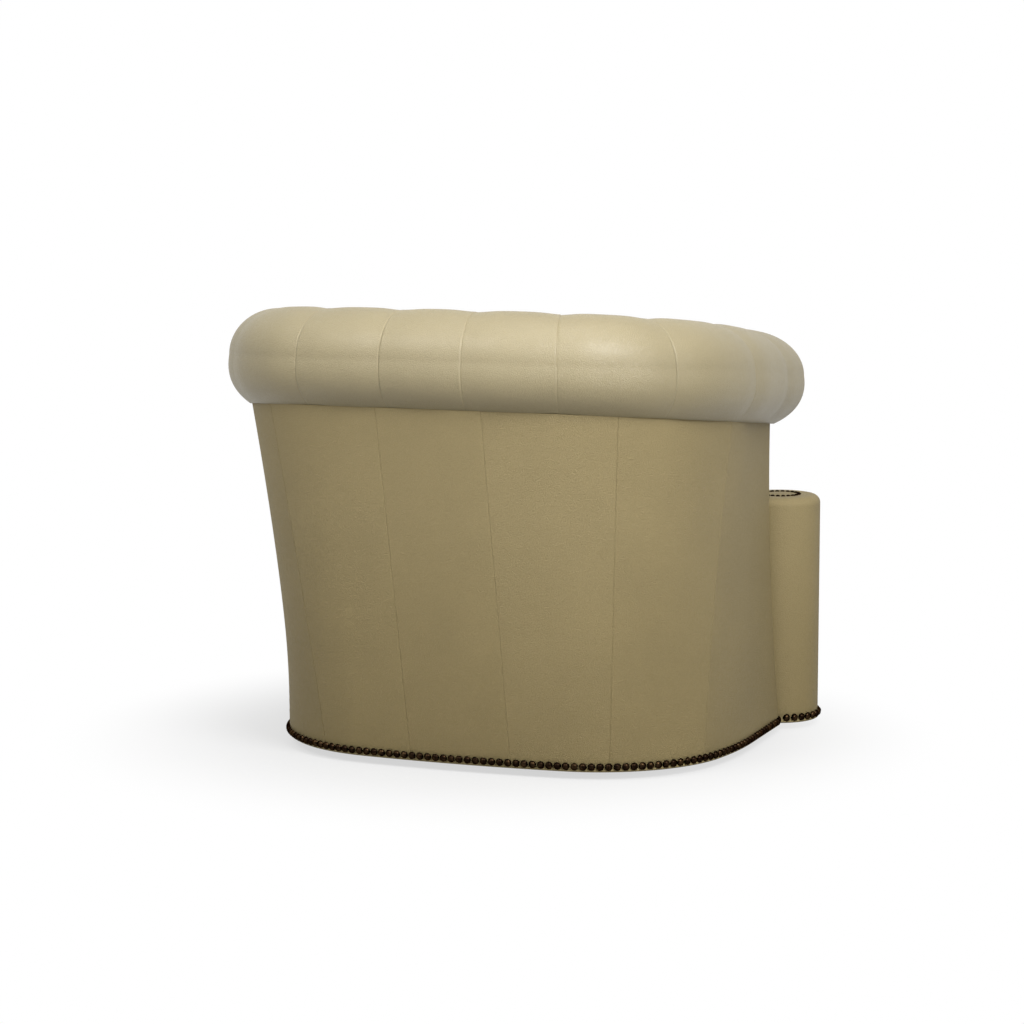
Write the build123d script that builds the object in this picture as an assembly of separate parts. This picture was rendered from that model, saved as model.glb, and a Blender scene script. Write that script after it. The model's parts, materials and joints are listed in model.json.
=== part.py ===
from build123d import *
from math import acos, asin, copysign, cos, degrees, pi, radians, sin, sqrt
import os

os.makedirs("parts", exist_ok=True)

# The chair stands on the floor at z = 0, with its swivel axis on Z and its front towards -Y.
# All lengths are in millimetres.

# Plan outline of the outer cover at the hem, from the middle of the back round to one front edge
hem_height = 12.0
hem_back_y = 310.0
hem_back_radius = 1860.0
hem_back_sweep = 5.3
hem_corner_radius = 230.0
hem_corner_sweep = 71.3
hem_side_radius = 612.0
hem_side_sweep = 12.8
hem_panel_width = 170.0
hem_back_panel = 160.0
hem_corner_panel = 173.0
hem_side_panel = 177.0

# Plan outline of the outer cover where it meets the roll, and the height of that seam
seam_back_y = 451.0
seam_back_radius = 1000.0
seam_back_sweep = 10.9
seam_corner_radius = 250.0
seam_corner_sweep = 68.8
seam_side_radius = 700.0
seam_side_sweep = 16.3
seam_height = 595.0
seam_slope = 0.113
seam_centre_panel = 174.0
seam_back_panel = 213.0
seam_corner_panel = 276.0
seam_side_panel = 184.0
seam_front_panel = 125.0
side_bow = 7.0
half_rise = 0.5

# Cover, wall and inside upholstery
cover_thickness = 7.0
cover_seam_gap = 0.1
wall_depth = 96.0
wall_lean = 45.0
inside_padding = 46.0
inside_crown = 11.0
inside_crown_rise = 0.75
back_pad_station = 1.5
upper_button_rise = 0.93
lower_button_rise = 0.8
facing_depth = 12.0
seat_gap = 0.3

# Roll over the back and arms: its section, its sewn pleats and its rounded noses
roll_half_width = 81.0
roll_top_height = 74.0
roll_rise = 82.0
roll_clearance = 0.8
pleat_depth = 4.0
first_pleat = 65.0
second_pleat = 208.0
third_pleat = 380.0
fourth_pleat = 600.0
fifth_pleat = 805.0
nose_run = 109.0
nose_length = 65.0
nose_growth = 17.0
nose_lift = 14.0
nose_shares = (0.45, 0.8, 0.97)

# Round posts in front of the arms
post_x = 367.0
post_y = -253.0
post_radius = 68.0
post_height = 396.0
post_shoulder = 14.0
post_padding = 9.0
neck_width = 64.0
nail_ring_radius = 32.0

# Nails
nail_radius = 6.35
nail_crown = 3.2
nail_pitch = 13.5
nail_line_height = 22.0
nail_facets = 6
small_nail_radius = 4.0
small_nail_crown = 1.8
small_nail_pitch = 8.8
stud_top_share = 0.55
post_nail_start = 62.0

# Seat frame, webbing, deck and cushion
apron_front_y = -298.0
apron_top = 318.0
apron_thickness = 10.0
rail_height = 70.0
rail_thickness = 26.0
side_rail_back_y = 110.0
side_rail_clearance = 3.0
deck_height = 318.0
deck_thickness = 16.0
web_width = 50.0
web_thickness = 2.5
web_gap = 22.0
web_rear_reach = 84.0
long_web_count = 6
cross_web_count = 5
seat_half_width = 261.0
seat_side_bow = 7.0
seat_back_y = 220.0
seat_back_corner = 118.0
seat_back_bow = 9.0
cushion_front_y = -322.0
cushion_thickness = 112.0
cushion_crown = 22.0
cushion_draw = 12.0
cushion_corner = 46.0
cushion_bow = 14.0
cushion_side_shares = ((1.0, 0.0), (0.2, 0.16), (0.0, 0.5), (0.2, 0.84), (1.0, 1.0))
cushion_crown_shares = ((1.0, 0.0), (0.72, 0.75), (0.4, 1.0))

# Timber of the wall
ply_thickness = 18.0
upright_width = 44.0
stile_width = 38.0
upright_clearance = 3.0

# Swivel plinth and bearing
floor_ring_height = 6.0
floor_ring_width = 30.0
floor_ring_round = 2.0
plinth_radius = 235.0
plinth_rim_width = 42.0
plinth_rim_height = 22.0
plinth_edge_round = 4.0
plinth_access_radius = 34.0
bearing_half_width = 150.0
bearing_corner = 30.0
plate_thickness = 3.0
race_radius = 112.0
ball_radius = 4.0
ball_count = 24
ball_clearance = 0.15
race_groove = 1.0
cage_thickness = 1.2
cage_half_width = 8.0
cage_clearance = 0.4
pivot_radius = 14.0
pivot_wall = 2.5
pivot_clearance = 0.08
pivot_flange = 5.0
board_half_length = 293.0
board_half_width = 158.0
bearer_width = 48.0
bearer_x = 269.0
bearer_back_y = 215.0
dust_cover_thickness = 0.8
dust_cover_margin = 4.0
dust_cover_hole_margin = 9.0

# Fasteners
screw_radius = 2.5
screw_head_radius = 4.8
screw_head_height = 2.4
screw_grip = 12.0
screw_edge = 20.0
pivot_flange_thickness = 1.5
button_radius = 11.0
button_height = 5.0
button_facets = 8

# Overrun of every cut, and the bow below which a run counts as straight
overrun = 1.0
straightness_share = 0.0005

# Part of a corner's diagonal that its rounding leaves
corner_share = sqrt(2) - 1

hem_outline = (
    hem_back_y,
    (
        (hem_back_radius, hem_back_sweep),
        (hem_corner_radius, hem_corner_sweep),
        (hem_side_radius, hem_side_sweep),
    ),
)
seam_outline = (
    seam_back_y,
    (
        (seam_back_radius, seam_back_sweep),
        (seam_corner_radius, seam_corner_sweep),
        (seam_side_radius, seam_side_sweep),
    ),
)
hem_panels = (
    hem_panel_width / 2,
    hem_back_panel,
    hem_corner_panel,
    hem_side_panel,
    hem_panel_width,
)
seam_panels = (
    seam_centre_panel / 2,
    seam_back_panel,
    seam_corner_panel,
    seam_side_panel,
    seam_front_panel,
)
panel_stations = (0.5, 1.5, 2.5, 3.5, 4.5)
front_station = panel_stations[-1]


# Places that follow from the sizes above
timber_inset = cover_thickness + seat_gap
timber_depth = wall_depth - inside_padding - cover_thickness - 2 * seat_gap
roll_inset = wall_depth / 2
nose_start = fifth_pleat + nose_run
plinth_bottom = floor_ring_height
plinth_rim_top = plinth_bottom + plinth_rim_height
plinth_top = plinth_rim_top + ply_thickness
lower_plate_top = plinth_top + plate_thickness
ball_drop = ball_radius + ball_clearance - race_groove
ball_height = lower_plate_top + ball_drop
upper_plate_bottom = ball_height + ball_drop
upper_plate_top = upper_plate_bottom + plate_thickness
board_top = upper_plate_top + ply_thickness
rail_top = deck_height - deck_thickness - 2 * web_thickness - 2 * seat_gap
cushion_bottom = deck_height + seat_gap
post_core_radius = post_radius - post_padding


def outline_point(outline, distance, inset=0.0):
    """Plan point and heading at a signed distance along an outline.

    The outline starts at (0, back_y) heading along +X and turns forward through its arcs,
    then runs straight. A negative distance gives the mirrored side. Inset moves inward.
    """
    back_y, bends = outline
    side = copysign(1.0, distance)
    left = abs(distance)
    x, y, heading = 0.0, back_y, 0.0
    for radius, sweep in bends:
        turn = min(left / radius, radians(sweep))
        x += radius * (sin(heading + turn) - sin(heading))
        y += radius * (cos(heading + turn) - cos(heading))
        heading += turn
        left -= radius * turn
    x += left * cos(heading) - inset * sin(heading)
    y -= left * sin(heading) + inset * cos(heading)
    return side * x, y, heading


def seam_plane_height(y):
    """Height of the sloping plane in which the roll's seam lies."""
    return seam_height + seam_slope * (y - seam_back_y)


def panel_distance(station, panels):
    """Distance along an outline at a panel station, 0 at the middle of the back."""
    distance = 0.0
    start = 0.0
    for end, width in zip(panel_stations, panels):
        share = min(max((abs(station) - start) / (end - start), 0.0), 1.0)
        distance += share * width
        start = end
    return copysign(distance, station)


def seam_distance(station):
    return panel_distance(station, seam_panels)


def wall_point(station, rise, inset=0.0, shift=0.0):
    """Point of the wall: station counts panels round it, rise goes from hem (0) to roll seam (1).

    All points of one rise lie in one plane, which tilts from level at the hem to the seam's slope.
    """
    hem_x, hem_y, heading = outline_point(hem_outline, panel_distance(station, hem_panels), inset)
    top_x, top_y, _ = outline_point(seam_outline, seam_distance(station), inset)
    bow = 4 * rise * (1 - rise) * side_bow * sin(heading)
    x = hem_x + (top_x - hem_x) * rise - copysign(bow * sin(heading), station)
    y = hem_y + (top_y - hem_y) * rise - bow * cos(heading) - shift * max(cos(heading), 0.0)
    back_y = hem_back_y + (seam_back_y - hem_back_y) * rise
    z = hem_height + rise * (seam_height - hem_height + seam_slope * (y - back_y))
    return Vector(x, y, z)


def rise_at(height):
    """Rise at which the middle of the back reaches a height."""
    return (height - hem_height) / (seam_height - hem_height)


def curve_through(start, middle, end):
    """Arc through three points, or a line where the run between them is straight."""
    sagitta = ((start + end) / 2 - middle).length
    if sagitta < straightness_share * (end - start).length:
        return Edge.make_line(start, end)
    return Edge.make_three_point_arc(start, middle, end)


def band_wire(stations, rise, outer, inner, outer_shift=0.0, inner_shift=0.0):
    """Closed section of a wall band between two insets, one arc for each panel it crosses."""
    edges = []
    pairs = list(zip(stations[:-1], stations[1:]))
    for a, b in pairs:
        middle = (a + b) / 2
        edges.append(curve_through(*[wall_point(s, rise, outer, outer_shift) for s in (a, middle, b)]))
    edges.append(Edge.make_line(
        wall_point(stations[-1], rise, outer, outer_shift),
        wall_point(stations[-1], rise, inner, inner_shift),
    ))
    for a, b in reversed(pairs):
        middle = (a + b) / 2
        edges.append(curve_through(*[wall_point(s, rise, inner, inner_shift) for s in (b, middle, a)]))
    edges.append(Edge.make_line(
        wall_point(stations[0], rise, inner, inner_shift),
        wall_point(stations[0], rise, outer, outer_shift),
    ))
    return Wire(edges)


def level_cut(solid, low, high):
    """Keep what lies between two heights."""
    size = 4 * hem_back_y
    slab = Pos(0, 0, (low + high) / 2) * Box(size, size, high - low)
    return solid & slab


def wall_band(stations, rises, outer, inner, outer_shifts=None, inner_shifts=None, crowns=None):
    """Loft a band of the wall through sections at the given rises."""
    count = len(rises)
    outer_shifts = outer_shifts or [0.0] * count
    inner_shifts = inner_shifts or [0.0] * count
    crowns = crowns or [0.0] * count
    wires = []
    for rise, outer_shift, inner_shift, crown in zip(rises, outer_shifts, inner_shifts, crowns):
        wires.append(band_wire(stations, rise, outer, inner + crown, outer_shift, inner_shift))
    return Solid.make_loft(wires, ruled=False)


def save(shape, name):
    shape.label = name
    export_step(shape, f"parts/{name}.step")


def group(shapes):
    return Compound(children=list(shapes))


def mirrored(shape):
    """The same piece on the other side of the chair."""
    return mirror(shape, about=Plane.YZ)


def wall_stations(first, last):
    """Stations from one end to the other, with every panel seam between them."""
    seams = sorted(panel_stations + tuple(-s for s in panel_stations))
    return [first] + [s for s in seams if first < s < last] + [last]


# Outer cover: seven sewn panels, and a facing round the front edge of each arm

facing_station = front_station - facing_depth / hem_panel_width
wall_end_station = facing_station - seat_gap / hem_panel_width


def cover_panel(first, last):
    half_gap = cover_seam_gap / 2 / hem_panel_width
    stations = wall_stations(first + half_gap, last - half_gap)
    return wall_band(stations, (0.0, half_rise, 1.0), 0.0, cover_thickness)


def arm_facing():
    """Padded front edge of the arm wall, rounded at both corners, from hem to roll."""
    wires = []
    for rise in (0.0, half_rise, 1.0):
        outer_back = wall_point(facing_station, rise)
        inner_back = wall_point(facing_station, rise, wall_depth)
        outer_front = wall_point(front_station, rise, facing_depth)
        inner_front = wall_point(front_station, rise, wall_depth - facing_depth)
        outer_corner = wall_point(front_station, rise)
        inner_corner = wall_point(front_station, rise, wall_depth)
        wires.append(Wire([
            Edge.make_line(outer_back, inner_back),
            corner_arc(inner_back, inner_corner, inner_front),
            Edge.make_line(inner_front, outer_front),
            corner_arc(outer_front, outer_corner, outer_back),
        ]))
    return Solid.make_loft(wires, ruled=False)


def corner_arc(start, corner, end):
    """Arc that rounds a corner between two points at equal distances from it."""
    chord = (start + end) / 2
    middle = chord + (corner - chord) * corner_share
    return Edge.make_three_point_arc(start, middle, end)


# Timber frame of the wall: bent hoops of plywood, uprights between them and front stiles

hoop_ends = wall_stations(-wall_end_station, wall_end_station)
bottom_hoop_rises = (
    seat_gap / (seam_height - hem_height),
    (ply_thickness + seat_gap) / (seam_height - hem_height),
)
top_hoop_rises = (
    1 - (ply_thickness + seat_gap) / (seam_height - hem_height),
    1 - seat_gap / (seam_height - hem_height),
)


def hoop(rises):
    return wall_band(hoop_ends, rises, timber_inset, timber_inset + timber_depth)


def upright(station, width):
    """Sawn post between the hoops, set back a little from cover and padding."""
    half = width / hem_panel_width / 2
    rises = (bottom_hoop_rises[1], half_rise, top_hoop_rises[0])
    stations = (station - half, station + half)
    return wall_band(
        stations, rises, timber_inset + upright_clearance,
        timber_inset + timber_depth - upright_clearance,
    )


def uprights():
    pieces = []
    for station in panel_stations[:-1]:
        pieces += [upright(station, upright_width), upright(-station, upright_width)]
    return group(pieces)


def front_stile():
    half = stile_width / hem_panel_width / 2
    return upright(wall_end_station - half, stile_width)


def seat_hoop():
    """Bent rail that carries the webbing and the inside padding along the wall."""
    low = rail_top - rail_height
    rises = (rise_at(low) / 2, half_rise, 1.0)
    inner_face = timber_inset + timber_depth + seat_gap
    band = wall_band(hoop_ends, rises, inner_face, wall_depth - seat_gap)
    return level_cut(band, low, rail_top)


# Inside padding of back and arms

def inside_pad(first, last):
    rises = (rise_at(rail_top) / 2, inside_crown_rise, 1.0)
    shifts = [wall_lean * (1 - rise) / (1 - rise_at(deck_height)) for rise in rises]
    pad = wall_band(
        wall_stations(first, last), rises, wall_depth - inside_padding, wall_depth,
        inner_shifts=shifts, crowns=(0.0, inside_crown, 0.0),
    )
    return level_cut(pad, deck_height - deck_thickness, 2 * seam_height)


# Roll

def roll_section(distance, draw=0.0, scale=1.0, lift=0.0):
    """Egg-shaped section across the roll: two quarter ellipses above, two cut ones below."""
    x, y, heading = outline_point(seam_outline, distance, roll_inset)
    outward = Vector(copysign(1.0, distance) * sin(heading), cos(heading), 0)
    up = Vector(0, 0, 1)
    centre = Vector(x, y, seam_plane_height(y) + roll_clearance + roll_rise + lift)
    growth_share = (abs(distance) - fourth_pleat) / (nose_start - fourth_pleat)
    grow = nose_growth * min(max(growth_share, 0.0), 1.0)
    half_width = (roll_half_width + grow - draw) * scale
    top = (roll_top_height - draw) * scale
    foot = roll_inset * scale
    tilt = seam_slope * roll_inset * cos(heading)
    outer_drop = (roll_rise - tilt) * scale
    inner_drop = (roll_rise + tilt) * scale
    foot_angle = acos(foot / half_width)
    upper = Plane(origin=centre, x_dir=outward, z_dir=outward.cross(up))
    lower = Plane(origin=centre, x_dir=outward, z_dir=-outward.cross(up))
    lower_inner = Plane(origin=centre, x_dir=-outward, z_dir=outward.cross(up))
    return Wire([
        Edge.make_ellipse(half_width, outer_drop / sin(foot_angle), lower, 0, degrees(foot_angle)),
        Edge.make_ellipse(half_width, top, upper, 0, 90),
        Edge.make_ellipse(half_width, top, upper, 90, 180),
        Edge.make_ellipse(half_width, inner_drop / sin(foot_angle), lower_inner, 0, degrees(foot_angle)),
        Edge.make_line(
            centre + outward * foot - up * outer_drop,
            centre - outward * foot - up * inner_drop,
        ),
    ])


def roll_channel(start, end):
    """One padded length of the roll, drawn in at the pleats that bound it."""
    return Solid.make_loft([
        roll_section(start, pleat_depth),
        roll_section((start + end) / 2),
        roll_section(end, pleat_depth),
    ])


def roll_front():
    """Front length of an arm's roll, from its last pleat to the start of the nose."""
    return Solid.make_loft([
        roll_section(fifth_pleat, pleat_depth),
        roll_section(fifth_pleat + nose_run / 2),
        roll_section(nose_start),
    ])


def roll_nose():
    """Rounded end of an arm's roll."""
    sections = [roll_section(nose_start)]
    for share in nose_shares:
        scale = sqrt(1 - share ** 2)
        distance = nose_start + nose_length * share
        sections.append(roll_section(distance, scale=scale, lift=nose_lift * (1 - scale)))
    return Solid.make_loft(sections)


def joined(pieces):
    """Fuse pieces that share end faces into one solid."""
    whole = pieces[0]
    for piece in pieces[1:]:
        whole = whole + piece
    return whole


def back_roll():
    pleats = (-third_pleat, -second_pleat, -first_pleat, first_pleat, second_pleat, third_pleat)
    return joined([roll_channel(a, b) for a, b in zip(pleats[:-1], pleats[1:])])


def arm_roll():
    pleats = (third_pleat, fourth_pleat, fifth_pleat)
    channels = [roll_channel(a, b) for a, b in zip(pleats[:-1], pleats[1:])]
    return joined(channels + [roll_front(), roll_nose()])


# Round posts in front of the arms, with the neck that ties each to its wall

def post_cover():
    """Leather-covered sleeve: a closed round column over its core, and a neck back to the wall."""
    height = post_height - hem_height
    column = Pos(post_x, post_y, hem_height + height / 2) * Cylinder(post_radius, height)
    column = fillet(column.edges().group_by(Axis.Z)[-1], post_shoulder)
    bore_height = height - post_padding
    bore = Pos(post_x, post_y, hem_height + (bore_height - overrun) / 2) * Cylinder(
        post_core_radius + seat_gap, bore_height + overrun)
    sections = []
    for rise in (0.0, rise_at(post_height)):
        outer = wall_point(front_station, rise, facing_depth)
        inner = wall_point(front_station, rise, facing_depth + neck_width)
        back = -seat_gap
        front = post_y - outer.Y
        sections.append(Wire.make_polygon([
            outer + Vector(0, back, 0), inner + Vector(0, back, 0),
            inner + Vector(0, front, 0), outer + Vector(0, front, 0),
        ]))
    neck = Solid.make_loft(sections, ruled=True)
    neck = level_cut(neck, hem_height, post_height - post_shoulder)
    return column + neck - bore


def post_core():
    """Turned column from the hem to the padded top."""
    height = post_height - post_padding - seat_gap - hem_height - seat_gap
    return Pos(post_x, post_y, hem_height + seat_gap + height / 2) * Cylinder(post_core_radius, height)


# Front of the seat: two rails between the posts and the covered apron over them

def clear_of_posts(shape):
    """Cut a piece back to the round faces of both posts."""
    size = 2 * post_height
    for x in (post_x, -post_x):
        shape = shape - Pos(x, post_y, 0) * Cylinder(post_radius + seat_gap, size)
    return shape


def cross_board(back_y, thickness, low, high):
    """Board from post to post whose front face is one thickness ahead of back_y."""
    board = Pos(0, back_y - thickness / 2, (low + high) / 2) * Box(2 * post_x, thickness, high - low)
    return clear_of_posts(board)


apron_back_y = apron_front_y + apron_thickness
rail_front_y = apron_back_y + seat_gap
rail_back_y = rail_front_y + rail_thickness


def front_apron():
    apron = cross_board(apron_back_y, apron_thickness, hem_height, apron_top)
    top_front = apron.edges().filter_by(Axis.X).group_by(Axis.Z)[-1].sort_by(Axis.Y)[0]
    return fillet(top_front, apron_thickness / 2)


def seat_front_rail():
    return cross_board(rail_back_y, rail_thickness, rail_top - rail_height, rail_top)


def lower_front_rail():
    return cross_board(rail_back_y, rail_thickness, hem_height + seat_gap, hem_height + rail_height)


def seat_rail_outer_x():
    """Outer face of the side rails, clear of the seat hoop and the arm facings."""
    rise = rise_at(rail_top - rail_height)
    return wall_point(front_station, rise, wall_depth).X - side_rail_clearance


def seat_side_rail():
    """Straight rail beside the seat hoop, back from the front rail."""
    front_y = rail_back_y + seat_gap
    length = side_rail_back_y - front_y
    return Pos(seat_rail_outer_x() - rail_thickness / 2, front_y + length / 2,
               rail_top - rail_height / 2) * Box(rail_thickness, length, rail_height)


# Webbing, deck and cushion

def seat_outline(inset, z, scale=1.0):
    """Closed plan of the seat: bowed front, rounded corners, straight sides and a curved back."""
    half = (seat_half_width - inset) * scale
    middle_y = (seat_back_y + cushion_front_y) / 2
    front = middle_y + (cushion_front_y + inset - middle_y) * scale
    back = middle_y + (seat_back_y - inset - middle_y) * scale
    corner = cushion_corner * scale
    rear = seat_back_corner * scale
    bow = cushion_bow * scale
    side_bulge = seat_side_bow * scale
    back_bow = seat_back_bow * scale
    reach = 1 - sqrt(1 / 2)
    side_middle = (front + corner + back - rear) / 2
    half_plan = [
        (0, front - bow), (half - corner, front),
        (half - corner * reach, front + corner * reach), (half, front + corner),
        (half + side_bulge, side_middle), (half, back - rear),
        (half - rear * reach, back - rear * reach), (half - rear, back),
    ]
    plan = half_plan + [(0, back + back_bow)] + [(-x, y) for x, y in reversed(half_plan[1:])]
    points = [Vector(x, y, z) for x, y in plan[-1:] + plan[:-1]]
    triples = zip(points[0::2], points[1::2], points[2::2] + points[:1])
    return Wire([Edge.make_three_point_arc(start, middle, end) for start, middle, end in triples])


def seat_cushion():
    """Box cushion: drawn in at both seams, full between them, with a crowned top."""
    sections = [
        seat_outline(cushion_draw * draw_share, cushion_bottom + cushion_thickness * height_share)
        for draw_share, height_share in cushion_side_shares
    ]
    top = cushion_bottom + cushion_thickness
    crown = [
        seat_outline(cushion_draw, top + cushion_crown * crown_share, scale_share)
        for scale_share, crown_share in cushion_crown_shares
    ]
    return Solid.make_loft(sections) + Solid.make_loft(crown)


def seat_deck():
    """Stuffed pad over the webbing, inside the padding and behind the apron."""
    face = Face(seat_outline(cushion_draw, deck_height - deck_thickness))
    deck = extrude(face, deck_thickness)
    size = 2 * seam_height
    front = Pos(0, apron_back_y + seat_gap - size / 2, 0) * Box(size, size, size)
    return deck - front


def webbing(count, along_x, z):
    """Straps of one direction, spread evenly over the seat opening."""
    straps = []
    half_x = seat_rail_outer_x()
    back_y = seat_back_y + web_rear_reach
    front_y = rail_front_y + seat_gap
    for number in range(count):
        offset = (number - (count - 1) / 2) * (web_width + web_gap)
        if along_x:
            y = (side_rail_back_y + front_y) / 2 + offset
            straps.append(Pos(0, y, z) * Box(2 * half_x, web_width, web_thickness))
        else:
            length = back_y - front_y
            straps.append(Pos(offset, (back_y + front_y) / 2, z) * Box(web_width, length, web_thickness))
    return group(straps)


# Nails and buttons

def stud(radius, crown, facets):
    """Low faceted dome standing on z = 0."""
    foot = Plane.XY * RegularPolygon(radius, facets)
    head = Plane.XY.offset(crown) * RegularPolygon(radius * stud_top_share, facets)
    return loft([foot, head], ruled=True)


def set_on(shape, point, normal, lift=seat_gap):
    """Stand a shape just clear of a point of a surface, along its outward normal."""
    across = Vector(0, 0, 1).cross(normal)
    return Plane(origin=point + normal * lift, x_dir=across, z_dir=normal).location * shape


def cover_line(rise):
    """Line round the outer cover at one rise, panel by panel."""
    spans = zip(hoop_ends[:-1], hoop_ends[1:])
    return Wire([
        curve_through(*[wall_point(s, rise) for s in (a, (a + b) / 2, b)]) for a, b in spans
    ])


def wall_nails():
    """Row along the outer cover, and one more nail round the front edge of each arm."""
    rise = rise_at(nail_line_height)
    line = cover_line(rise)
    line_above = cover_line(2 * rise)
    count = int(line.length / nail_pitch)
    nail = stud(nail_radius, nail_crown, nail_facets)
    nails = []
    for number in range(count):
        share = (number + 1 / 2) / count
        along = line.tangent_at(share)
        up = line_above.position_at(share) - line.position_at(share)
        place = line.position_at(share)
        outward = up.cross(along).normalized()
        if outward.dot(place) < 0:
            outward = -outward
        nails.append(set_on(nail, place, outward))
    corner = wall_point(front_station, rise)
    inward = (wall_point(front_station, rise, wall_depth) - corner).normalized()
    back = (wall_point(facing_station, rise) - corner).normalized()
    outward = -(inward + back).normalized()
    round_off = facing_depth * corner_share
    edge = set_on(nail, corner - outward * round_off, outward, 2 * seat_gap)
    return nails + [edge, mirrored(edge)]


def post_nails():
    """Row round the part of a post that stands clear of its wall and the apron."""
    nail = stud(nail_radius, nail_crown, nail_facets)
    pitch_angle = nail_pitch / post_radius
    last = -pi + asin((apron_front_y - post_y) / -post_radius) + pitch_angle / 2
    first = post_nail_start
    count = int((radians(first) - last) / pitch_angle)
    nails = []
    for number in range(count + 1):
        angle = radians(first) - number * (radians(first) - last) / count
        outward = Vector(cos(angle), sin(angle), 0)
        point = Vector(post_x, post_y, nail_line_height) + outward * post_radius
        nails.append(set_on(nail, point, outward))
    return nails


def apron_nails():
    nail = stud(nail_radius, nail_crown, nail_facets)
    reach = post_x - sqrt(post_radius ** 2 - (apron_front_y - post_y) ** 2)
    count = int((2 * reach - nail_pitch) / nail_pitch)
    nails = []
    for number in range(count):
        x = (number - (count - 1) / 2) * nail_pitch
        nails.append(set_on(nail, Vector(x, apron_front_y, nail_line_height), Vector(0, -1, 0)))
    return nails


def hem_nails():
    side = post_nails()
    return group(wall_nails() + side + [mirrored(nail) for nail in side] + apron_nails())


def post_ring_nails():
    nail = stud(small_nail_radius, small_nail_crown, nail_facets)
    count = int(2 * pi * nail_ring_radius / small_nail_pitch)
    nails = []
    for number in range(count):
        angle = 360 / count * number
        ring_place = Rot(0, 0, angle) * Pos(nail_ring_radius, 0, 0)
        nails.append(Pos(post_x, post_y, post_height) * ring_place * nail)
    return group(nails)


def station_at(distance):
    """Panel station that lies at a distance along the seam outline."""
    start, start_distance = 0.0, 0.0
    for end, width in zip(panel_stations, seam_panels):
        if abs(distance) <= start_distance + width or end == front_station:
            station = start + (end - start) * (abs(distance) - start_distance) / width
            return copysign(station, distance)
        start, start_distance = end, start_distance + width


def button_on(button, shapes, start, direction):
    """Set a button where a line from start first meets the shapes, hollowed to fit their surface."""
    hits = []
    for shape in shapes:
        hits += shape.find_intersection_points(Axis(start, direction))
    point, normal = min(hits, key=lambda hit: (hit[0] - start).length)
    if normal.dot(direction) > 0:
        normal = -normal
    seated = set_on(button, point, normal, 0.0)
    for shape in shapes:
        seated = (seated - shape).solids().sort_by(SortBy.VOLUME)[-1]
    return Pos(normal * seat_gap) * seated


def tufting_buttons(pads, rolls):
    """Three staggered rows: on the roll at its pleats, below it between them, and low on the back."""
    button = stud(button_radius, button_height, button_facets)
    pleats = (first_pleat, second_pleat, third_pleat, fourth_pleat, fifth_pleat)
    between = [(a + b) / 2 for a, b in zip((-first_pleat,) + pleats[:-1], pleats)]
    buttons = []
    for distance in pleats:
        x, y, heading = outline_point(seam_outline, distance, wall_depth + roll_half_width)
        outward = Vector(sin(heading), cos(heading), 0)
        start = Vector(x, y, seam_plane_height(y) + roll_rise)
        buttons.append(button_on(button, rolls, start, outward))
    rows = [(distance, upper_button_rise) for distance in between]
    rows += [(distance, lower_button_rise) for distance in pleats[:2]]
    for distance, rise in rows:
        station = station_at(distance)
        start = wall_point(station, rise, wall_depth + inside_padding)
        outward = (wall_point(station, rise) - start).normalized()
        buttons.append(button_on(button, pads, start, outward))
    middle = [button for button in buttons if abs(button.center().X) < button_radius]
    sides = [button for button in buttons if abs(button.center().X) >= button_radius]
    return group(middle + sides + [mirrored(button) for button in sides])


# Swivel plinth and bearing

def floor_ring():
    """Flat rubber ring under the plinth's rim, rounded at its lower edges."""
    middle_radius = plinth_radius - plinth_rim_width / 2
    ring = Cylinder(middle_radius + floor_ring_width / 2, floor_ring_height)
    ring = ring - Cylinder(middle_radius - floor_ring_width / 2, floor_ring_height + 2 * overrun)
    ring = Pos(0, 0, floor_ring_height / 2) * ring
    return fillet(ring.edges().group_by(Axis.Z)[0], floor_ring_round)


def plinth_rim():
    rim = Pos(0, 0, plinth_bottom + plinth_rim_height / 2) * Cylinder(plinth_radius, plinth_rim_height)
    rim = fillet(rim.edges().group_by(Axis.Z)[0], plinth_edge_round)
    bore = Pos(0, 0, plinth_bottom + plinth_rim_height / 2) * Cylinder(
        plinth_radius - plinth_rim_width, plinth_rim_height + 2 * overrun)
    return rim - bore


def plate_screw_places():
    corner = bearing_half_width - screw_edge
    return [(x, y) for x in (corner, -corner) for y in (corner, -corner)] + [
        (corner, 0), (-corner, 0), (0, corner), (0, -corner)]


def screw_holes(low, high):
    height = high - low
    return [Pos(x, y, (low + high) / 2) * Cylinder(screw_radius, height) for x, y in plate_screw_places()]


def plinth_disc():
    middle = (plinth_rim_top + plinth_top) / 2
    disc = Pos(0, 0, middle) * Cylinder(plinth_radius, ply_thickness)
    disc = disc - Pos(0, 0, middle) * Cylinder(plinth_access_radius, ply_thickness + 2 * overrun)
    return disc - screw_holes(plinth_top - screw_grip, plinth_top + overrun)


def bearing_plate(bottom, hole_radius):
    """Square steel plate with rounded corners, a ball race and a pivot hole."""
    blank = RectangleRounded(2 * bearing_half_width, 2 * bearing_half_width, bearing_corner)
    plate = Pos(0, 0, bottom) * extrude(blank, plate_thickness)
    race = Pos(0, 0, ball_height) * Torus(race_radius, ball_radius + ball_clearance)
    hole = Pos(0, 0, bottom + plate_thickness / 2) * Cylinder(hole_radius, plate_thickness + 2 * overrun)
    return plate - race - hole - screw_holes(bottom - overrun, bottom + plate_thickness + overrun)


def plate_screws(seat, direction):
    """Pan-head screws whose heads bear on a plate face, pointing down (-1) or up (+1)."""
    grip = plate_thickness + screw_grip
    screws = []
    for x, y in plate_screw_places():
        head = Pos(x, y, seat - direction * screw_head_height / 2) * Cylinder(
            screw_head_radius, screw_head_height)
        shank = Pos(x, y, seat + direction * grip / 2) * Cylinder(screw_radius, grip)
        screws.append(head + shank)
    return group(screws)


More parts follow.
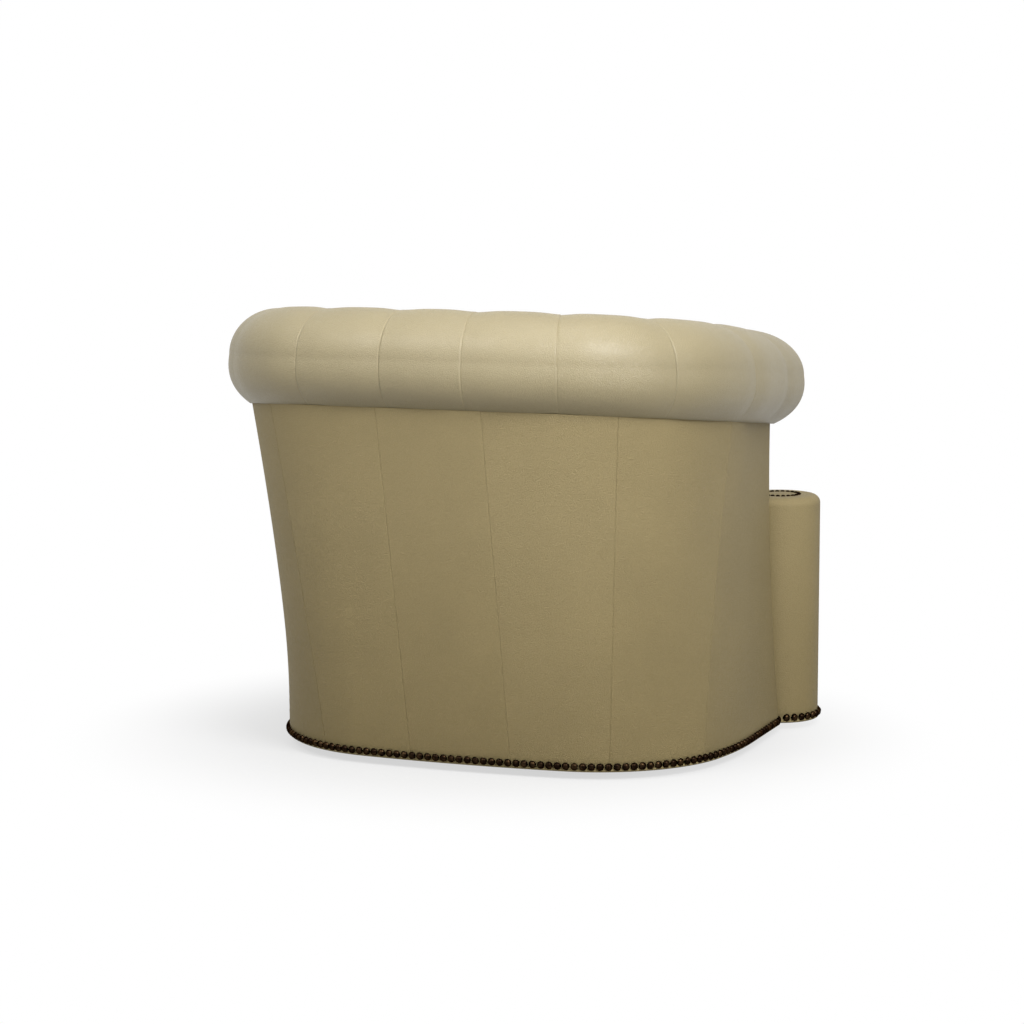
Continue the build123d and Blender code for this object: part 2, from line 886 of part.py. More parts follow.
def pivot_tube():
    """Hollow rivet that holds the two plates together, flanged below and above them."""
    bottom = plinth_top - pivot_flange_thickness
    top = upper_plate_top + seat_gap + pivot_flange_thickness
    bore = pivot_radius - pivot_wall
    rim = pivot_radius + pivot_flange
    profile = Polyline(
        (bore, bottom), (rim, bottom), (rim, plinth_top), (pivot_radius, plinth_top),
        (pivot_radius, upper_plate_top + seat_gap), (rim, upper_plate_top + seat_gap),
        (rim, top), (bore, top), close=True,
    )
    return revolve(Plane.XZ * make_face(profile), Axis.Z)


def bearing_balls():
    ball = Sphere(ball_radius)
    turns = [360 / ball_count * number for number in range(ball_count)]
    return group([Rot(0, 0, turn) * Pos(race_radius, 0, ball_height) * ball for turn in turns])


def ball_cage():
    cage = Pos(0, 0, ball_height) * Cylinder(race_radius + cage_half_width, cage_thickness)
    cage = cage - Pos(0, 0, ball_height) * Cylinder(
        race_radius - cage_half_width, cage_thickness + 2 * overrun)
    pocket = Cylinder(ball_radius + cage_clearance, cage_thickness + 2 * overrun)
    turns = [360 / ball_count * number for number in range(ball_count)]
    return cage - [Rot(0, 0, turn) * Pos(race_radius, 0, ball_height) * pocket for turn in turns]


def swivel_board():
    middle = (upper_plate_top + board_top) / 2
    board = Pos(0, 0, middle) * Box(2 * board_half_length, 2 * board_half_width, ply_thickness)
    board = board - Pos(0, 0, middle) * Cylinder(plinth_access_radius, ply_thickness + 2 * overrun)
    return board - screw_holes(upper_plate_top - overrun, upper_plate_top + screw_grip)


def bearer():
    """Batten from the lower front rail to the bottom hoop, under the swivel board."""
    bottom = hem_height + ply_thickness + 2 * seat_gap
    front_y = rail_back_y + seat_gap
    length = bearer_back_y - front_y
    height = upper_plate_top - bottom
    return Pos(bearer_x, front_y + length / 2, bottom + height / 2) * Box(bearer_width, length, height)


def dust_cover():
    """Thin cloth under the frame, open round the plinth."""
    inset = timber_inset + dust_cover_margin
    edges = []
    for a, b in zip(hoop_ends[:-1], hoop_ends[1:]):
        edges.append(curve_through(*[wall_point(s, 0.0, inset) for s in (a, (a + b) / 2, b)]))
    left = wall_point(wall_end_station, 0.0, inset)
    inner_x = post_x - post_radius - dust_cover_margin
    front_y = rail_front_y + dust_cover_margin
    corners = [
        left, Vector(inner_x, left.Y, hem_height), Vector(inner_x, front_y, hem_height),
        Vector(-inner_x, front_y, hem_height), Vector(-inner_x, left.Y, hem_height),
        Vector(-left.X, left.Y, hem_height),
    ]
    edges += [Edge.make_line(a, b) for a, b in zip(corners[:-1], corners[1:])]
    sheet = extrude(Face(Wire(edges)), dust_cover_thickness, dir=(0, 0, -1))
    hole = Pos(0, 0, hem_height) * Cylinder(
        plinth_radius + dust_cover_hole_margin, dust_cover_thickness + 2 * ply_thickness)
    return sheet - hole


# Assembly

def save_pair(shape, name):
    """Save a left piece and its mirror image."""
    save(mirrored(shape), "right_" + name)
    save(shape, "left_" + name)


def build_base():
    save(floor_ring(), "floor_ring")
    save(plinth_rim(), "plinth_rim")
    save(plinth_disc(), "plinth_disc")
    save(bearing_plate(plinth_top, pivot_radius), "lower_bearing_plate")
    save(plate_screws(lower_plate_top, -1), "lower_plate_screws")
    save(pivot_tube(), "pivot_tube")
    save(ball_cage(), "ball_cage")
    save(bearing_balls(), "bearing_balls")


def build_frame():
    save(bearing_plate(upper_plate_bottom, pivot_radius + pivot_clearance), "upper_bearing_plate")
    save(plate_screws(upper_plate_bottom, 1), "upper_plate_screws")
    save(swivel_board(), "swivel_board")
    save_pair(bearer(), "bearer")
    save(hoop(bottom_hoop_rises), "bottom_hoop")
    save(hoop(top_hoop_rises), "top_hoop")
    save(uprights(), "wall_uprights")
    save_pair(front_stile(), "front_stile")
    save(seat_hoop(), "seat_hoop")
    save_pair(seat_side_rail(), "seat_rail")
    save(seat_front_rail(), "seat_front_rail")
    save(lower_front_rail(), "lower_front_rail")
    save_pair(post_core(), "post_core")
    save(dust_cover(), "dust_cover")


def build_upholstery():
    low_web = rail_top + seat_gap + web_thickness / 2
    save(webbing(long_web_count, False, low_web), "long_webbing")
    save(webbing(cross_web_count, True, low_web + web_thickness), "cross_webbing")
    save(seat_deck(), "seat_deck")
    save(seat_cushion(), "seat_cushion")
    save(front_apron(), "front_apron")
    save(cover_panel(-panel_stations[0], panel_stations[0]), "back_centre_cover")
    save_pair(cover_panel(*panel_stations[0:2]), "back_cover")
    save_pair(cover_panel(*panel_stations[1:3]), "corner_cover")
    save_pair(cover_panel(panel_stations[2], wall_end_station), "side_cover")
    save_pair(arm_facing(), "arm_facing")
    save_pair(post_cover(), "post_cover")
    back_pad = inside_pad(-back_pad_station, back_pad_station)
    arm_pad = inside_pad(back_pad_station, wall_end_station)
    roll = back_roll()
    left_roll = arm_roll()
    save(back_pad, "inside_back")
    save_pair(arm_pad, "inside_arm")
    save(roll, "back_roll")
    save_pair(left_roll, "arm_roll")
    save(tufting_buttons([back_pad, arm_pad], [roll, left_roll]), "tufting_buttons")
    save(hem_nails(), "hem_nails")
    save_pair(post_ring_nails(), "post_nails")


build_base()
build_frame()
build_upholstery()
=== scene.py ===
import math
import bpy
import numpy as np
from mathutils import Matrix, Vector, kdtree
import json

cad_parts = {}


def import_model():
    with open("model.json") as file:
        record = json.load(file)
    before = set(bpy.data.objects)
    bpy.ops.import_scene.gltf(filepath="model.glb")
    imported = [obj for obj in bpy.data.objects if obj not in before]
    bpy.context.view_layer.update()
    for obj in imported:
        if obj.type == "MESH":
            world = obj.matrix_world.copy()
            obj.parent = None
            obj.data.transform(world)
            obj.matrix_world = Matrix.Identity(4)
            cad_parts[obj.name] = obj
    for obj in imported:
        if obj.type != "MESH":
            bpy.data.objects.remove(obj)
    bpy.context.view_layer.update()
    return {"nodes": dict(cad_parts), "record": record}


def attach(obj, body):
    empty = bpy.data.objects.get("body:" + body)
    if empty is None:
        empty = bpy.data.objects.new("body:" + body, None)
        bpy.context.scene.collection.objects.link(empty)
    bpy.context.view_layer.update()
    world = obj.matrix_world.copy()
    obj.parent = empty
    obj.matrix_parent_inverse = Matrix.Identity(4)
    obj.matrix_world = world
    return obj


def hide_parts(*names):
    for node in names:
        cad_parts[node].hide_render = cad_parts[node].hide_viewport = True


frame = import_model()

# Lengths are metres. The outlines and heights repeat those of the solids.
hem_height = 0.012
hem_outline = (0.310, ((1.860, 5.3), (0.230, 71.3), (0.612, 12.8)))
seam_outline = (0.451, ((1.000, 10.9), (0.250, 68.8), (0.700, 16.3)))
seam_height = 0.595
seam_slope = 0.113
wall_height = seam_height - hem_height
hem_panels = (0.085, 0.160, 0.173, 0.177, 0.170)
seam_panels = (0.087, 0.213, 0.276, 0.184, 0.125)
panel_stations = (0.5, 1.5, 2.5, 3.5, 4.5)
front_station = panel_stations[-1]
side_bow = 0.007
cover_thickness = 0.007
wall_depth = 0.096
wall_lean = 0.045
inside_padding = 0.046
inside_crown = 0.011
inside_crown_rise = 0.75
inside_puff = 0.002
facing_depth = 0.012
facing_inset = 0.0004
facing_crown = 0.0022
facing_middle = 0.004
back_pad_station = 1.5
deck_height = 0.318
deck_thickness = 0.016
pad_foot_height = 0.297
fold_start_height = 0.36

roll_half_width = 0.081
roll_top_height = 0.074
roll_rise = 0.082
roll_clearance = -0.0006
roll_belly = 0.005
pleats = (0.065, 0.208, 0.380, 0.600, 0.805)
pleat_hollow = 0.0030
pleat_hollow_width = 0.030
pleat_fold = 0.0010
pleat_fold_width = 0.0012
pleat_lap = 0.0005
pleat_lap_width = 0.010
pleat_lap_edge = 0.001
nose_start = 0.914
nose_length = 0.065
nose_growth = 0.017
nose_lift = 0.014
nose_rounding = 6.0
nose_grain = 1.4

post_x = 0.367
post_y = -0.253
post_radius = 0.068
post_height = 0.396
post_shoulder = 0.014
post_bore = 0.0592
post_padding = 0.009
post_axis = 0.0002
post_bore_step = 0.05
post_crown = ((0.0, 0.0015), (0.3, 0.0014), (0.6, 0.0009), (0.85, 0.0), (1.0, -0.0006), (1.15, 0.0))
neck_width = 0.064
neck_shoulder = 0.8
neck_lean = 0.4
nail_ring_radius = 0.032

nail_radius = 0.00635
nail_crown = 0.0056
nail_rim = 0.0006
nail_pitch = 0.0135
nail_line = 0.022
small_nail_radius = 0.004
small_nail_crown = 0.0026
small_nail_rim = 0.0004
small_nail_pitch = 0.0088
small_nail_sink = 0.0007
post_nail_start = 62.0

apron_front_y = -0.298
apron_thickness = 0.010
apron_top = 0.318

button_radius = 0.011
button_height = 0.0055
button_rim = 0.001
button_sink = 0.010
upper_button_rise = 0.93
lower_button_rise = 0.8
top_fold_reach = 0.115
low_fold_reach = 0.10
arm_fold_start = 0.25
fold_foot = 1.0
fold_depth = 0.0055
fold_width = 0.011
crease_depth = 0.0015
crease_width = 0.0025
dimple_depth = 0.009
dimple_width = 0.017
dimple_overlap = 0.3
fold_fade = 0.12
low_fold_share = 0.35
roll_blend = 0.02
roll_tuft_reach = 0.05
roll_tuft_stretch = 1.2
button_edge_space = 0.03

panel_gap = 0.00008
post_gap = 0.0003
seam_depth = 0.0006
seam_reach = 0.0014
gather_depth = 0.00022
gather_reach = 0.009
gather_pitch = 0.017
fine_gather_pitch = 0.0107
fine_gather_share = 0.6
fine_gather_phase = 2.3
panel_sway = 0.0004
sway_turn = 9.0
fullness_start = 0.05
hem_edge = 0.0035
bead_crown = 0.0021
bead_height = 0.0030
bead_width = 0.0021
nail_press = 0.0013
nail_press_width = 0.0050
panel_step = 0.0055
roll_step = 0.0065
pad_step = 0.006
edge_steps = (0.0, 0.0004, 0.0008, 0.0013, 0.0019, 0.0032, 0.006, 0.010)
hem_steps = (0.0, 0.0004, 0.0010, 0.0018, 0.0028, 0.0040, 0.0054, 0.0070, 0.0088, 0.0108, 0.013, 0.0155,
             0.0185, 0.022, 0.027, 0.033)
corner_fullness = -0.0030
side_fullness = -0.0025
back_fullness = 0.0006
centre_fullness = 0.0008

seat_half_width = 0.261
seat_side_bow = 0.007
seat_back_y = 0.220
seat_back_corner = 0.118
seat_back_bow = 0.009
cushion_front_y = -0.322
cushion_bottom = 0.3183
cushion_thickness = 0.112
cushion_crown = 0.022
cushion_draw = 0.012
cushion_corner = 0.046
cushion_bow = 0.014
cushion_slack = 0.006
cushion_reach = 0.010
cushion_voxel = 0.006
cushion_pressure = 6.0
cushion_frames = 20
seam_hold = 0.0045
welt_radius = 0.0035
welt_inset = 0.010
top_welt_drop = 0.001
bottom_welt_lift = 0.002

sides = {"left": 1, "right": -1}


# Outline and wall, as functions of arrays

def outline_point(outline, distance, inset=0.0):
    """Plan x, y and heading at signed distances along an outline of arcs that then runs straight."""
    back_y, bends = outline
    side = np.where(distance < 0, -1.0, 1.0)
    left = np.abs(distance) + 0.0 * inset
    x = np.zeros_like(left)
    y = np.full_like(left, back_y)
    heading = np.zeros_like(left)
    for radius, sweep in bends:
        turn = np.minimum(left / radius, math.radians(sweep))
        x = x + radius * (np.sin(heading + turn) - np.sin(heading))
        y = y + radius * (np.cos(heading + turn) - np.cos(heading))
        heading = heading + turn
        left = left - radius * turn
    x = x + left * np.cos(heading) - inset * np.sin(heading)
    y = y - left * np.sin(heading) - inset * np.cos(heading)
    return side * x, y, heading


station_marks = np.array((0.0,) + panel_stations)
hem_marks = np.concatenate([[0.0], np.cumsum(hem_panels)])
seam_marks = np.concatenate([[0.0], np.cumsum(seam_panels)])


def hem_distance(station):
    """Signed distance along the hem at a panel station."""
    return np.sign(station) * np.interp(np.abs(station), station_marks, hem_marks)


def seam_distance(station):
    """Signed distance along the roll's seam at a panel station."""
    return np.sign(station) * np.interp(np.abs(station), station_marks, seam_marks)


def station_at(distance):
    """Panel station at a signed distance along the roll's seam."""
    return np.sign(distance) * np.interp(np.abs(distance), seam_marks, station_marks)


def seam_plane(y):
    """Height of the sloping plane of the roll's seam."""
    return seam_height + seam_slope * (y - seam_outline[0])


def wall_point(station, rise, inset=0.0, shift=0.0):
    """Points of the wall: station counts panels round it, rise runs from the hem (0) to the seam (1)."""
    station, rise, inset, shift = np.broadcast_arrays(*map(np.asarray, (station, rise, inset, shift)))
    hem_x, hem_y, heading = outline_point(hem_outline, hem_distance(station), inset)
    top_x, top_y, _ = outline_point(seam_outline, seam_distance(station), inset)
    bow = 4 * rise * (1 - rise) * side_bow * np.sin(heading)
    side = np.where(station < 0, -1.0, 1.0)
    x = hem_x + (top_x - hem_x) * rise - side * bow * np.sin(heading)
    y = hem_y + (top_y - hem_y) * rise - bow * np.cos(heading) - shift * np.maximum(np.cos(heading), 0.0)
    back_y = hem_outline[0] + (seam_outline[0] - hem_outline[0]) * rise
    z = hem_height + rise * (wall_height + seam_slope * (y - back_y))
    return np.stack([x, y, z], axis=-1)


def rise_at(height):
    """Share of the way from hem to seam at a height."""
    return (height - hem_height) / wall_height


# Mesh helpers

def lengths(points):
    """Cumulative length along a run of points."""
    return np.concatenate([[0.0], np.cumsum(np.linalg.norm(np.diff(points, axis=0), axis=1))])


def spaced(length, step):
    """Distances from 0 to a length, close together near both ends and one step apart between."""
    ends = np.array(edge_steps)
    count = max(int(round((length - 2 * ends[-1]) / step)), 1)
    middle = np.linspace(ends[-1], length - ends[-1], count + 1)[1:-1]
    return np.concatenate([ends, middle, (length - ends)[::-1]])


def patch(points):
    """UV map in metres for a grid of points, from arc lengths along a middle row and a quarter column."""
    rows, columns = points.shape[:2]
    across = lengths(points[rows // 2])
    along = lengths(points[:, columns // 4])
    return np.stack(np.meshgrid(across, along), axis=-1)


def tube_faces(index):
    """Quads between neighbouring loops of a grid of point numbers, one loop a row."""
    ahead = np.roll(index, -1, axis=1)
    return np.stack([index[:-1], ahead[:-1], ahead[1:], index[1:]], axis=-1).reshape(-1, 4).tolist()


def end_faces(loop):
    """Quads that close a loop by strips across it."""
    back = loop[::-1]
    half = len(loop) // 2
    return np.stack([loop[:half - 1], loop[1:half], back[1:half], back[:half - 1]], axis=-1).tolist()


def shell_faces(index):
    """Faces of a closed shell, from its grid of point numbers."""
    return tube_faces(index) + [face[::-1] for face in end_faces(index[0])] + end_faces(index[-1])


def outward(points, quads):
    """Quads turned to look out of the closed mesh that they make."""
    a, b, c, d = np.moveaxis((points - points.mean(axis=0))[np.array(quads)], 1, 0)
    volume = np.sum(a * (np.cross(b, c) + np.cross(c, d)))
    return [quad[::-1] for quad in quads] if volume < 0 else quads


def mesh_object(name, points, faces, uv, material, nodes=(), smooth=50.0):
    """One mesh object that rides on the chair and stands for CAD nodes."""
    mesh = bpy.data.meshes.new(name)
    mesh.from_pydata(points.tolist(), [], faces)
    if uv is not None:
        layer = mesh.uv_layers.new(name="grain")
        corners = np.empty(len(mesh.loops), dtype=np.int32)
        mesh.loops.foreach_get("vertex_index", corners)
        layer.data.foreach_set("uv", uv[corners].astype(np.float32).ravel())
    mesh.polygons.foreach_set("use_smooth", np.ones(len(mesh.polygons), dtype=bool))
    mesh.set_sharp_from_angle(angle=math.radians(smooth))
    mesh.update()
    piece = bpy.data.objects.new(name, mesh)
    bpy.context.scene.collection.objects.link(piece)
    piece.data.materials.append(material)
    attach(piece, "chair")
    if nodes:
        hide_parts(*nodes)
    return piece


def build(name, shells, material, node):
    """One object from closed shells, each a grid of loops and its UV map or None."""
    points, uv, faces, start = [], [], [], 0
    for grid, grain in shells:
        flat = grid.reshape(-1, 3)
        quads = outward(flat, shell_faces(np.arange(len(flat)).reshape(grid.shape[:2])))
        faces += [[start + k for k in quad] for quad in quads]
        points.append(flat)
        uv.append((patch(grid) if grain is None else grain).reshape(-1, 2))
        start += len(flat)
    return mesh_object(name, np.concatenate(points), faces, np.concatenate(uv), material, (node,))


# Node helpers

def wire(tree, node, inputs):
    """Feed a node's inputs, by name or number, from sockets or with values."""
    for key, value in inputs.items():
        if isinstance(value, bpy.types.NodeSocket):
            tree.links.new(value, node.inputs[key])
        else:
            node.inputs[key].default_value = value


def add(tree, kind, inputs=None, **settings):
    """Add a shader node with its settings and inputs."""
    node = tree.nodes.new("ShaderNode" + kind)
    for key, value in settings.items():
        setattr(node, key, value)
    wire(tree, node, inputs or {})
    return node


def ramp(tree, value, low, high, to_low=0.0, to_high=1.0):
    """Value mapped from one range to another, held at its ends."""
    limits = {"Value": value, "From Min": low, "From Max": high, "To Min": to_low, "To Max": to_high}
    return add(tree, "MapRange", limits).outputs["Result"]


def mix(tree, share, first, second, blend="MIX"):
    node = add(tree, "Mix", {0: share, 6: first, 7: second}, data_type="RGBA", blend_type=blend)
    return node.outputs[2]


def maths(tree, operation, first, second=0.0):
    return add(tree, "Math", {0: first, 1: second}, operation=operation).outputs[0]


def vector_maths(tree, operation, inputs, output=0):
    return add(tree, "VectorMath", inputs, operation=operation).outputs[output]


def grey(tree, *channels):
    """Colour of three values."""
    return add(tree, "CombineColor", dict(enumerate(channels))).outputs[0]


def noise(tree, place, scale, detail, roughness=0.5, distortion=0.0):
    return add(tree, "TexNoise", {"Vector": place, "Scale": scale, "Detail": detail, "Roughness": roughness,
                                  "Distortion": distortion}).outputs[0]


def bumped(tree, height, strength, distance):
    """Normal of a surface with a height on it."""
    inputs = {"Height": height, "Strength": strength, "Distance": distance}
    return add(tree, "Bump", inputs).outputs["Normal"]


def object_place(tree):
    return add(tree, "TexCoord").outputs["Object"]


def new_material(name):
    material = bpy.data.materials.new(name)
    material.use_nodes = True
    tree = material.node_tree
    return material, tree, tree.nodes["Principled BSDF"]


# Leather: pebbled grain with fine creases, mottled colour

leather_colour = (0.312, 0.249, 0.121, 1.0)
grain_stretch = (1.0, 1.75, 1.0)
sway_scale, sway_reach = 60.0, 0.004
pebble_scale, pebble_edge = 360.0, 0.28
fine_scale, fine_share = 900.0, -0.25
crease_scale, crease_share = 120.0, 0.3
cloud_scale = 7.0
grain_distance, grain_strength = 0.0010, 0.9
# Painted shade: the leather's colour is darker and warmer below these heights, down to this tone at the
# floor.
painted_shade_low, painted_shade_high, painted_shade_tone = 0.03, 0.42, 0.80


def grain_height(group, turned):
    """Height of the pebbles, their tops alone, and the creases."""
    stretched = add(group, "Mapping", {"Vector": turned, "Scale": grain_stretch}).outputs[0]
    sway = add(group, "TexNoise", {"Vector": stretched, "Scale": sway_scale, "Detail": 2.0}).outputs["Color"]
    offset = vector_maths(group, "SUBTRACT", {0: sway, 1: (0.5, 0.5, 0.5)})
    offset = vector_maths(group, "SCALE", {0: offset, "Scale": sway_reach})
    place = vector_maths(group, "ADD", {0: stretched, 1: offset})
    pebble = add(group, "TexVoronoi", {"Vector": place, "Scale": pebble_scale, "Randomness": 0.9},
                 feature="DISTANCE_TO_EDGE").outputs["Distance"]
    fine = add(group, "TexVoronoi", {"Vector": place, "Scale": fine_scale}, feature="F1").outputs["Distance"]
    crease = noise(group, turned, crease_scale, 4.0, roughness=0.6)
    top = ramp(group, pebble, 0.0, pebble_edge)
    height = maths(group, "ADD", top, maths(group, "MULTIPLY", fine, fine_share))
    return maths(group, "ADD", height, maths(group, "MULTIPLY", crease, crease_share)), top, crease


group_inputs = {"Vector": "Vector", "Color": "Color", "Turn": "Float", "Relief": "Float"}
group_outputs = {"Color": "Color", "Roughness": "Float", "Normal": "Vector"}


def leather_group():
    """Node group of the leather's colour, roughness and normal."""
    group = bpy.data.node_groups.new("leather_grain", "ShaderNodeTree")
    for way, sockets in (("INPUT", group_inputs), ("OUTPUT", group_outputs)):
        for label, kind in sockets.items():
            group.interface.new_socket(name=label, in_out=way, socket_type="NodeSocket" + kind)
    inlet, outlet = group.nodes.new("NodeGroupInput"), group.nodes.new("NodeGroupOutput")
    vector = inlet.outputs["Vector"]
    turned = add(group, "VectorRotate", {"Vector": vector, "Angle": inlet.outputs["Turn"]},
                 rotation_type="Z_AXIS").outputs[0]
    height, top, crease = grain_height(group, turned)
    cloud = noise(group, vector, cloud_scale, 3.0)
    strength = maths(group, "MULTIPLY", inlet.outputs["Relief"], grain_strength)
    # The hollows between the pebbles are painted darker than their tops: painted shade in the grain. The
    # cloud mottle is the hide's uneven tone.
    shade = maths(group, "MULTIPLY", ramp(group, top, 0.0, 1.0, 0.90, 1.02),
                  ramp(group, cloud, 0.3, 0.7, 0.965, 1.035))
    wire(group, outlet, {
        "Color": mix(group, 1.0, inlet.outputs["Color"], grey(group, shade, shade, shade), "MULTIPLY"),
        "Roughness": ramp(group, crease, 0.3, 0.7, 0.58, 0.70),
        "Normal": bumped(group, height, strength, grain_distance),
    })
    return group


leather_nodes = leather_group()


def leather(name, turn=0.0, tone=1.0, relief=1.0, flat=True, gloss=0.3, coat=0.0, matt=1.0,
            painted_sheen_cast=(1.0, 1.0, 1.0)):
    """Leather of one piece, with the grain turned and its tone set, darker towards the floor as painted
    shade.
    """
    material, tree, shader = new_material(name)
    place = add(tree, "UVMap", uv_map="grain").outputs["UV"] if flat else object_place(tree)
    # A cast other than white pales the colour: painted sheen.
    colour = tuple(channel * tone * share for channel, share in zip(leather_colour, painted_sheen_cast)) + (1.0,)
    height = add(tree, "SeparateXYZ", {0: object_place(tree)}).outputs[2]
    # Painted shade: the colour darkens and warms towards the floor, standing in for the light falling off low
    # down.
    painted_shade_and_wear = ramp(tree, height, painted_shade_low, painted_shade_high, painted_shade_tone, 1.0)
    shade = grey(tree, painted_shade_and_wear, maths(tree, "POWER", painted_shade_and_wear, 1.1), maths(tree, "POWER", painted_shade_and_wear, 1.5))
    grain = add(tree, "Group", node_tree=leather_nodes)
    wire(tree, grain, {"Vector": place, "Color": mix(tree, 1.0, colour, shade, "MULTIPLY"), "Turn": turn,
                       "Relief": relief})
    wire(tree, shader, {
        "Base Color": grain.outputs["Color"],
        "Roughness": maths(tree, "MULTIPLY", grain.outputs["Roughness"], matt),
        "Normal": grain.outputs["Normal"], "Specular IOR Level": gloss,
        "Coat Weight": coat, "Coat Roughness": 0.4,
    })
    return material


leather_back = leather("leather_back", turn=0.7, tone=0.87, relief=0.7)
leather_side = leather("leather_side", tone=0.82, relief=0.7)
# The roll's cast lifts green and blue, so its colour is paler and less saturated: a painted sheen.
leather_roll = leather("leather_roll", turn=0.5, tone=0.75, relief=0.5, gloss=0.65, coat=0.30, matt=0.8,
                       painted_sheen_cast=(1.0, 1.035, 1.12))
leather_post = leather("leather_post", tone=0.84, relief=0.5)
leather_inside = leather("leather_inside", turn=0.2, tone=0.88, relief=0.7)
leather_seat = leather("leather_seat", tone=0.88, relief=0.6, flat=False)


# Outer cover

def gathers(along, off, phase):
    """Fine gathers of the leather beside a seam, fading away from it."""
    wave = np.sin(along * 2 * math.pi / gather_pitch + phase)
    fine = np.sin(along * 2 * math.pi / fine_gather_pitch + fine_gather_phase * phase)
    return gather_depth * (wave + fine_gather_share * fine) * np.exp(-off / gather_reach)


def seam_groove(off):
    """How deep a surface is drawn in at a distance from its sewn edge."""
    return seam_depth * np.clip(1 - off / seam_reach, 0.0, 1.0) ** 2


def bell(off, width):
    return np.exp(-(off / width) ** 2)


def hem_form(height):
    """Inward offset near the hem: a rolled lower edge, a soft bead and the line that the nails press in."""
    below = np.clip(hem_edge - height, 0.0, hem_edge)
    turned = hem_edge - np.sqrt(np.clip(hem_edge ** 2 - below ** 2, 0.0, None))
    bead = bead_crown * bell(height - bead_height, bead_width)
    pressed = nail_press * bell(height - (nail_line - hem_height), nail_press_width)
    return turned - bead + pressed


def cover_heights():
    """Heights over the hem up to the seam, close together over the hem's bead."""
    return np.concatenate([hem_steps, np.linspace(hem_steps[-1], wall_height, 116)[1:]])


def cover_panel(name, first, last, material, node, phase, fullness):
    """Sewn panel of the outer cover: edges turned in at both seams, a rolled hem, thin inner face."""
    width = abs(seam_distance(last) - seam_distance(first))
    hem_width = abs(hem_distance(last) - hem_distance(first))
    share = spaced(width, panel_step) / width
    gap = panel_gap / width
    station = (first + (last - first) * (gap + share * (1 - 2 * gap)))[None, :]
    share, height = np.meshgrid(share, cover_heights())
    rise = height / wall_height
    local_width = hem_width + (width - hem_width) * rise
    across = share * local_width
    far_across = local_width - across
    puff = -fullness * (1 - (2 * share - 1) ** 2) * np.clip(height / fullness_start, 0.0, 1.0)
    sway = panel_sway * np.sin(sway_turn * height + phase) * np.sin(math.pi * share)
    inset = puff + sway + seam_groove(across) + seam_groove(far_across) + hem_form(height)
    inset = inset + gathers(height, across, phase) + gathers(height, far_across, phase + 2.0)
    outer = wall_point(station, rise, inset)
    inner = wall_point(station, rise, cover_thickness)
    points = np.concatenate([outer, inner[:, ::-1]], axis=1)
    u = np.concatenate([across, across[:, ::-1] + 0.4], axis=1) + phase
    v = np.concatenate([height, height + 0.9], axis=1)
    build(name, [(points, np.stack([u, v], axis=-1))], material, node)


wall_end_station = front_station - facing_depth / hem_panels[-1]
cover_panel("back_centre_leather", -0.5, 0.5, leather_back, "back_centre_cover", 0.3, centre_fullness)
for word, side in sides.items():
    corner_leather = leather_side if side > 0 else leather_back
    spans = (("back", 0.5, 1.5, leather_back, back_fullness),
             ("corner", 1.5, 2.5, corner_leather, corner_fullness),
             ("side", 2.5, wall_end_station, leather_side, side_fullness))
    for number, (part, first, last, material, fullness) in enumerate(spans):
        cover_panel(f"{word}_{part}_leather", side * first, side * last, material, f"{word}_{part}_cover",
                    1.1 * number + 0.5 * side, fullness)


# Roll over back and arms

drape_roll = 0.098
drape_upper = drape_roll + (1 - upper_button_rise) * wall_height
drape_lower = drape_roll + (1 - lower_button_rise) * wall_height
middles = [0.0] + [(a + b) / 2 for a, b in zip(pleats[:-1], pleats[1:])]
middles[2] = seam_marks[2]


def roll_profile(half_width, top, rise, foot, tilt, rounding):
    """Egg-shaped section as (outward, up) runs from the outer foot over the top and back along the foot."""
    foot_angle = np.arccos(foot / half_width)
    below = np.linspace(-1.0, 0.0, 21)[:-1]
    above = np.linspace(0.0, math.pi, 57)
    inner = np.linspace(0.0, 1.0, 21)[1:]
    closing = np.linspace(1.0, 0.0, 12)[1:-1]
    under = foot - 2 * foot * closing
    belly = roll_belly * np.sin(math.pi * (1 + below))
    across = np.concatenate([half_width * np.cos(below * foot_angle) + belly, half_width * np.cos(above),
                             -half_width * np.cos(inner * foot_angle), under])
    outer_up = (rise - tilt) / np.sin(foot_angle) * np.sin(below * foot_angle)
    inner_up = -(rise + tilt) / np.sin(foot_angle) * np.sin(inner * foot_angle)
    sag = rise * (np.sqrt(1 - (under / half_width) ** 2) / np.sin(foot_angle) - 1)
    under_up = outer_up[0] + (inner_up[-1] - outer_up[0]) * closing - rounding * sag
    return across, np.concatenate([outer_up, top * np.sin(above), inner_up, under_up])


def tuft_lines():
    """Fold lines on (distance along the roll, distance down from its buttons), and the buttons' places."""
    tops = [side * p for p in pleats for side in (1, -1)]
    seconds = middles + [-m for m in middles[1:]]
    thirds = [side * p for p in pleats[:2] for side in (1, -1)]
    buttons, lines = [(a, drape_upper) for a in seconds], []
    for row, drop, reach in ((tops, 0.0, top_fold_reach), (thirds, drape_lower, low_fold_reach)):
        lines += [((a, drop), (b, drape_upper)) for a in row for b in seconds if abs(a - b) < reach]
    lines += [((a, drape_lower), (a, fold_foot)) for a in thirds]
    lines += [((a, drape_upper), (a, fold_foot)) for a in seconds if abs(a) > arm_fold_start]
    return lines, [(a, 0.0) for a in tops] + buttons + [(a, drape_lower) for a in thirds]


fold_lines, button_places = tuft_lines()


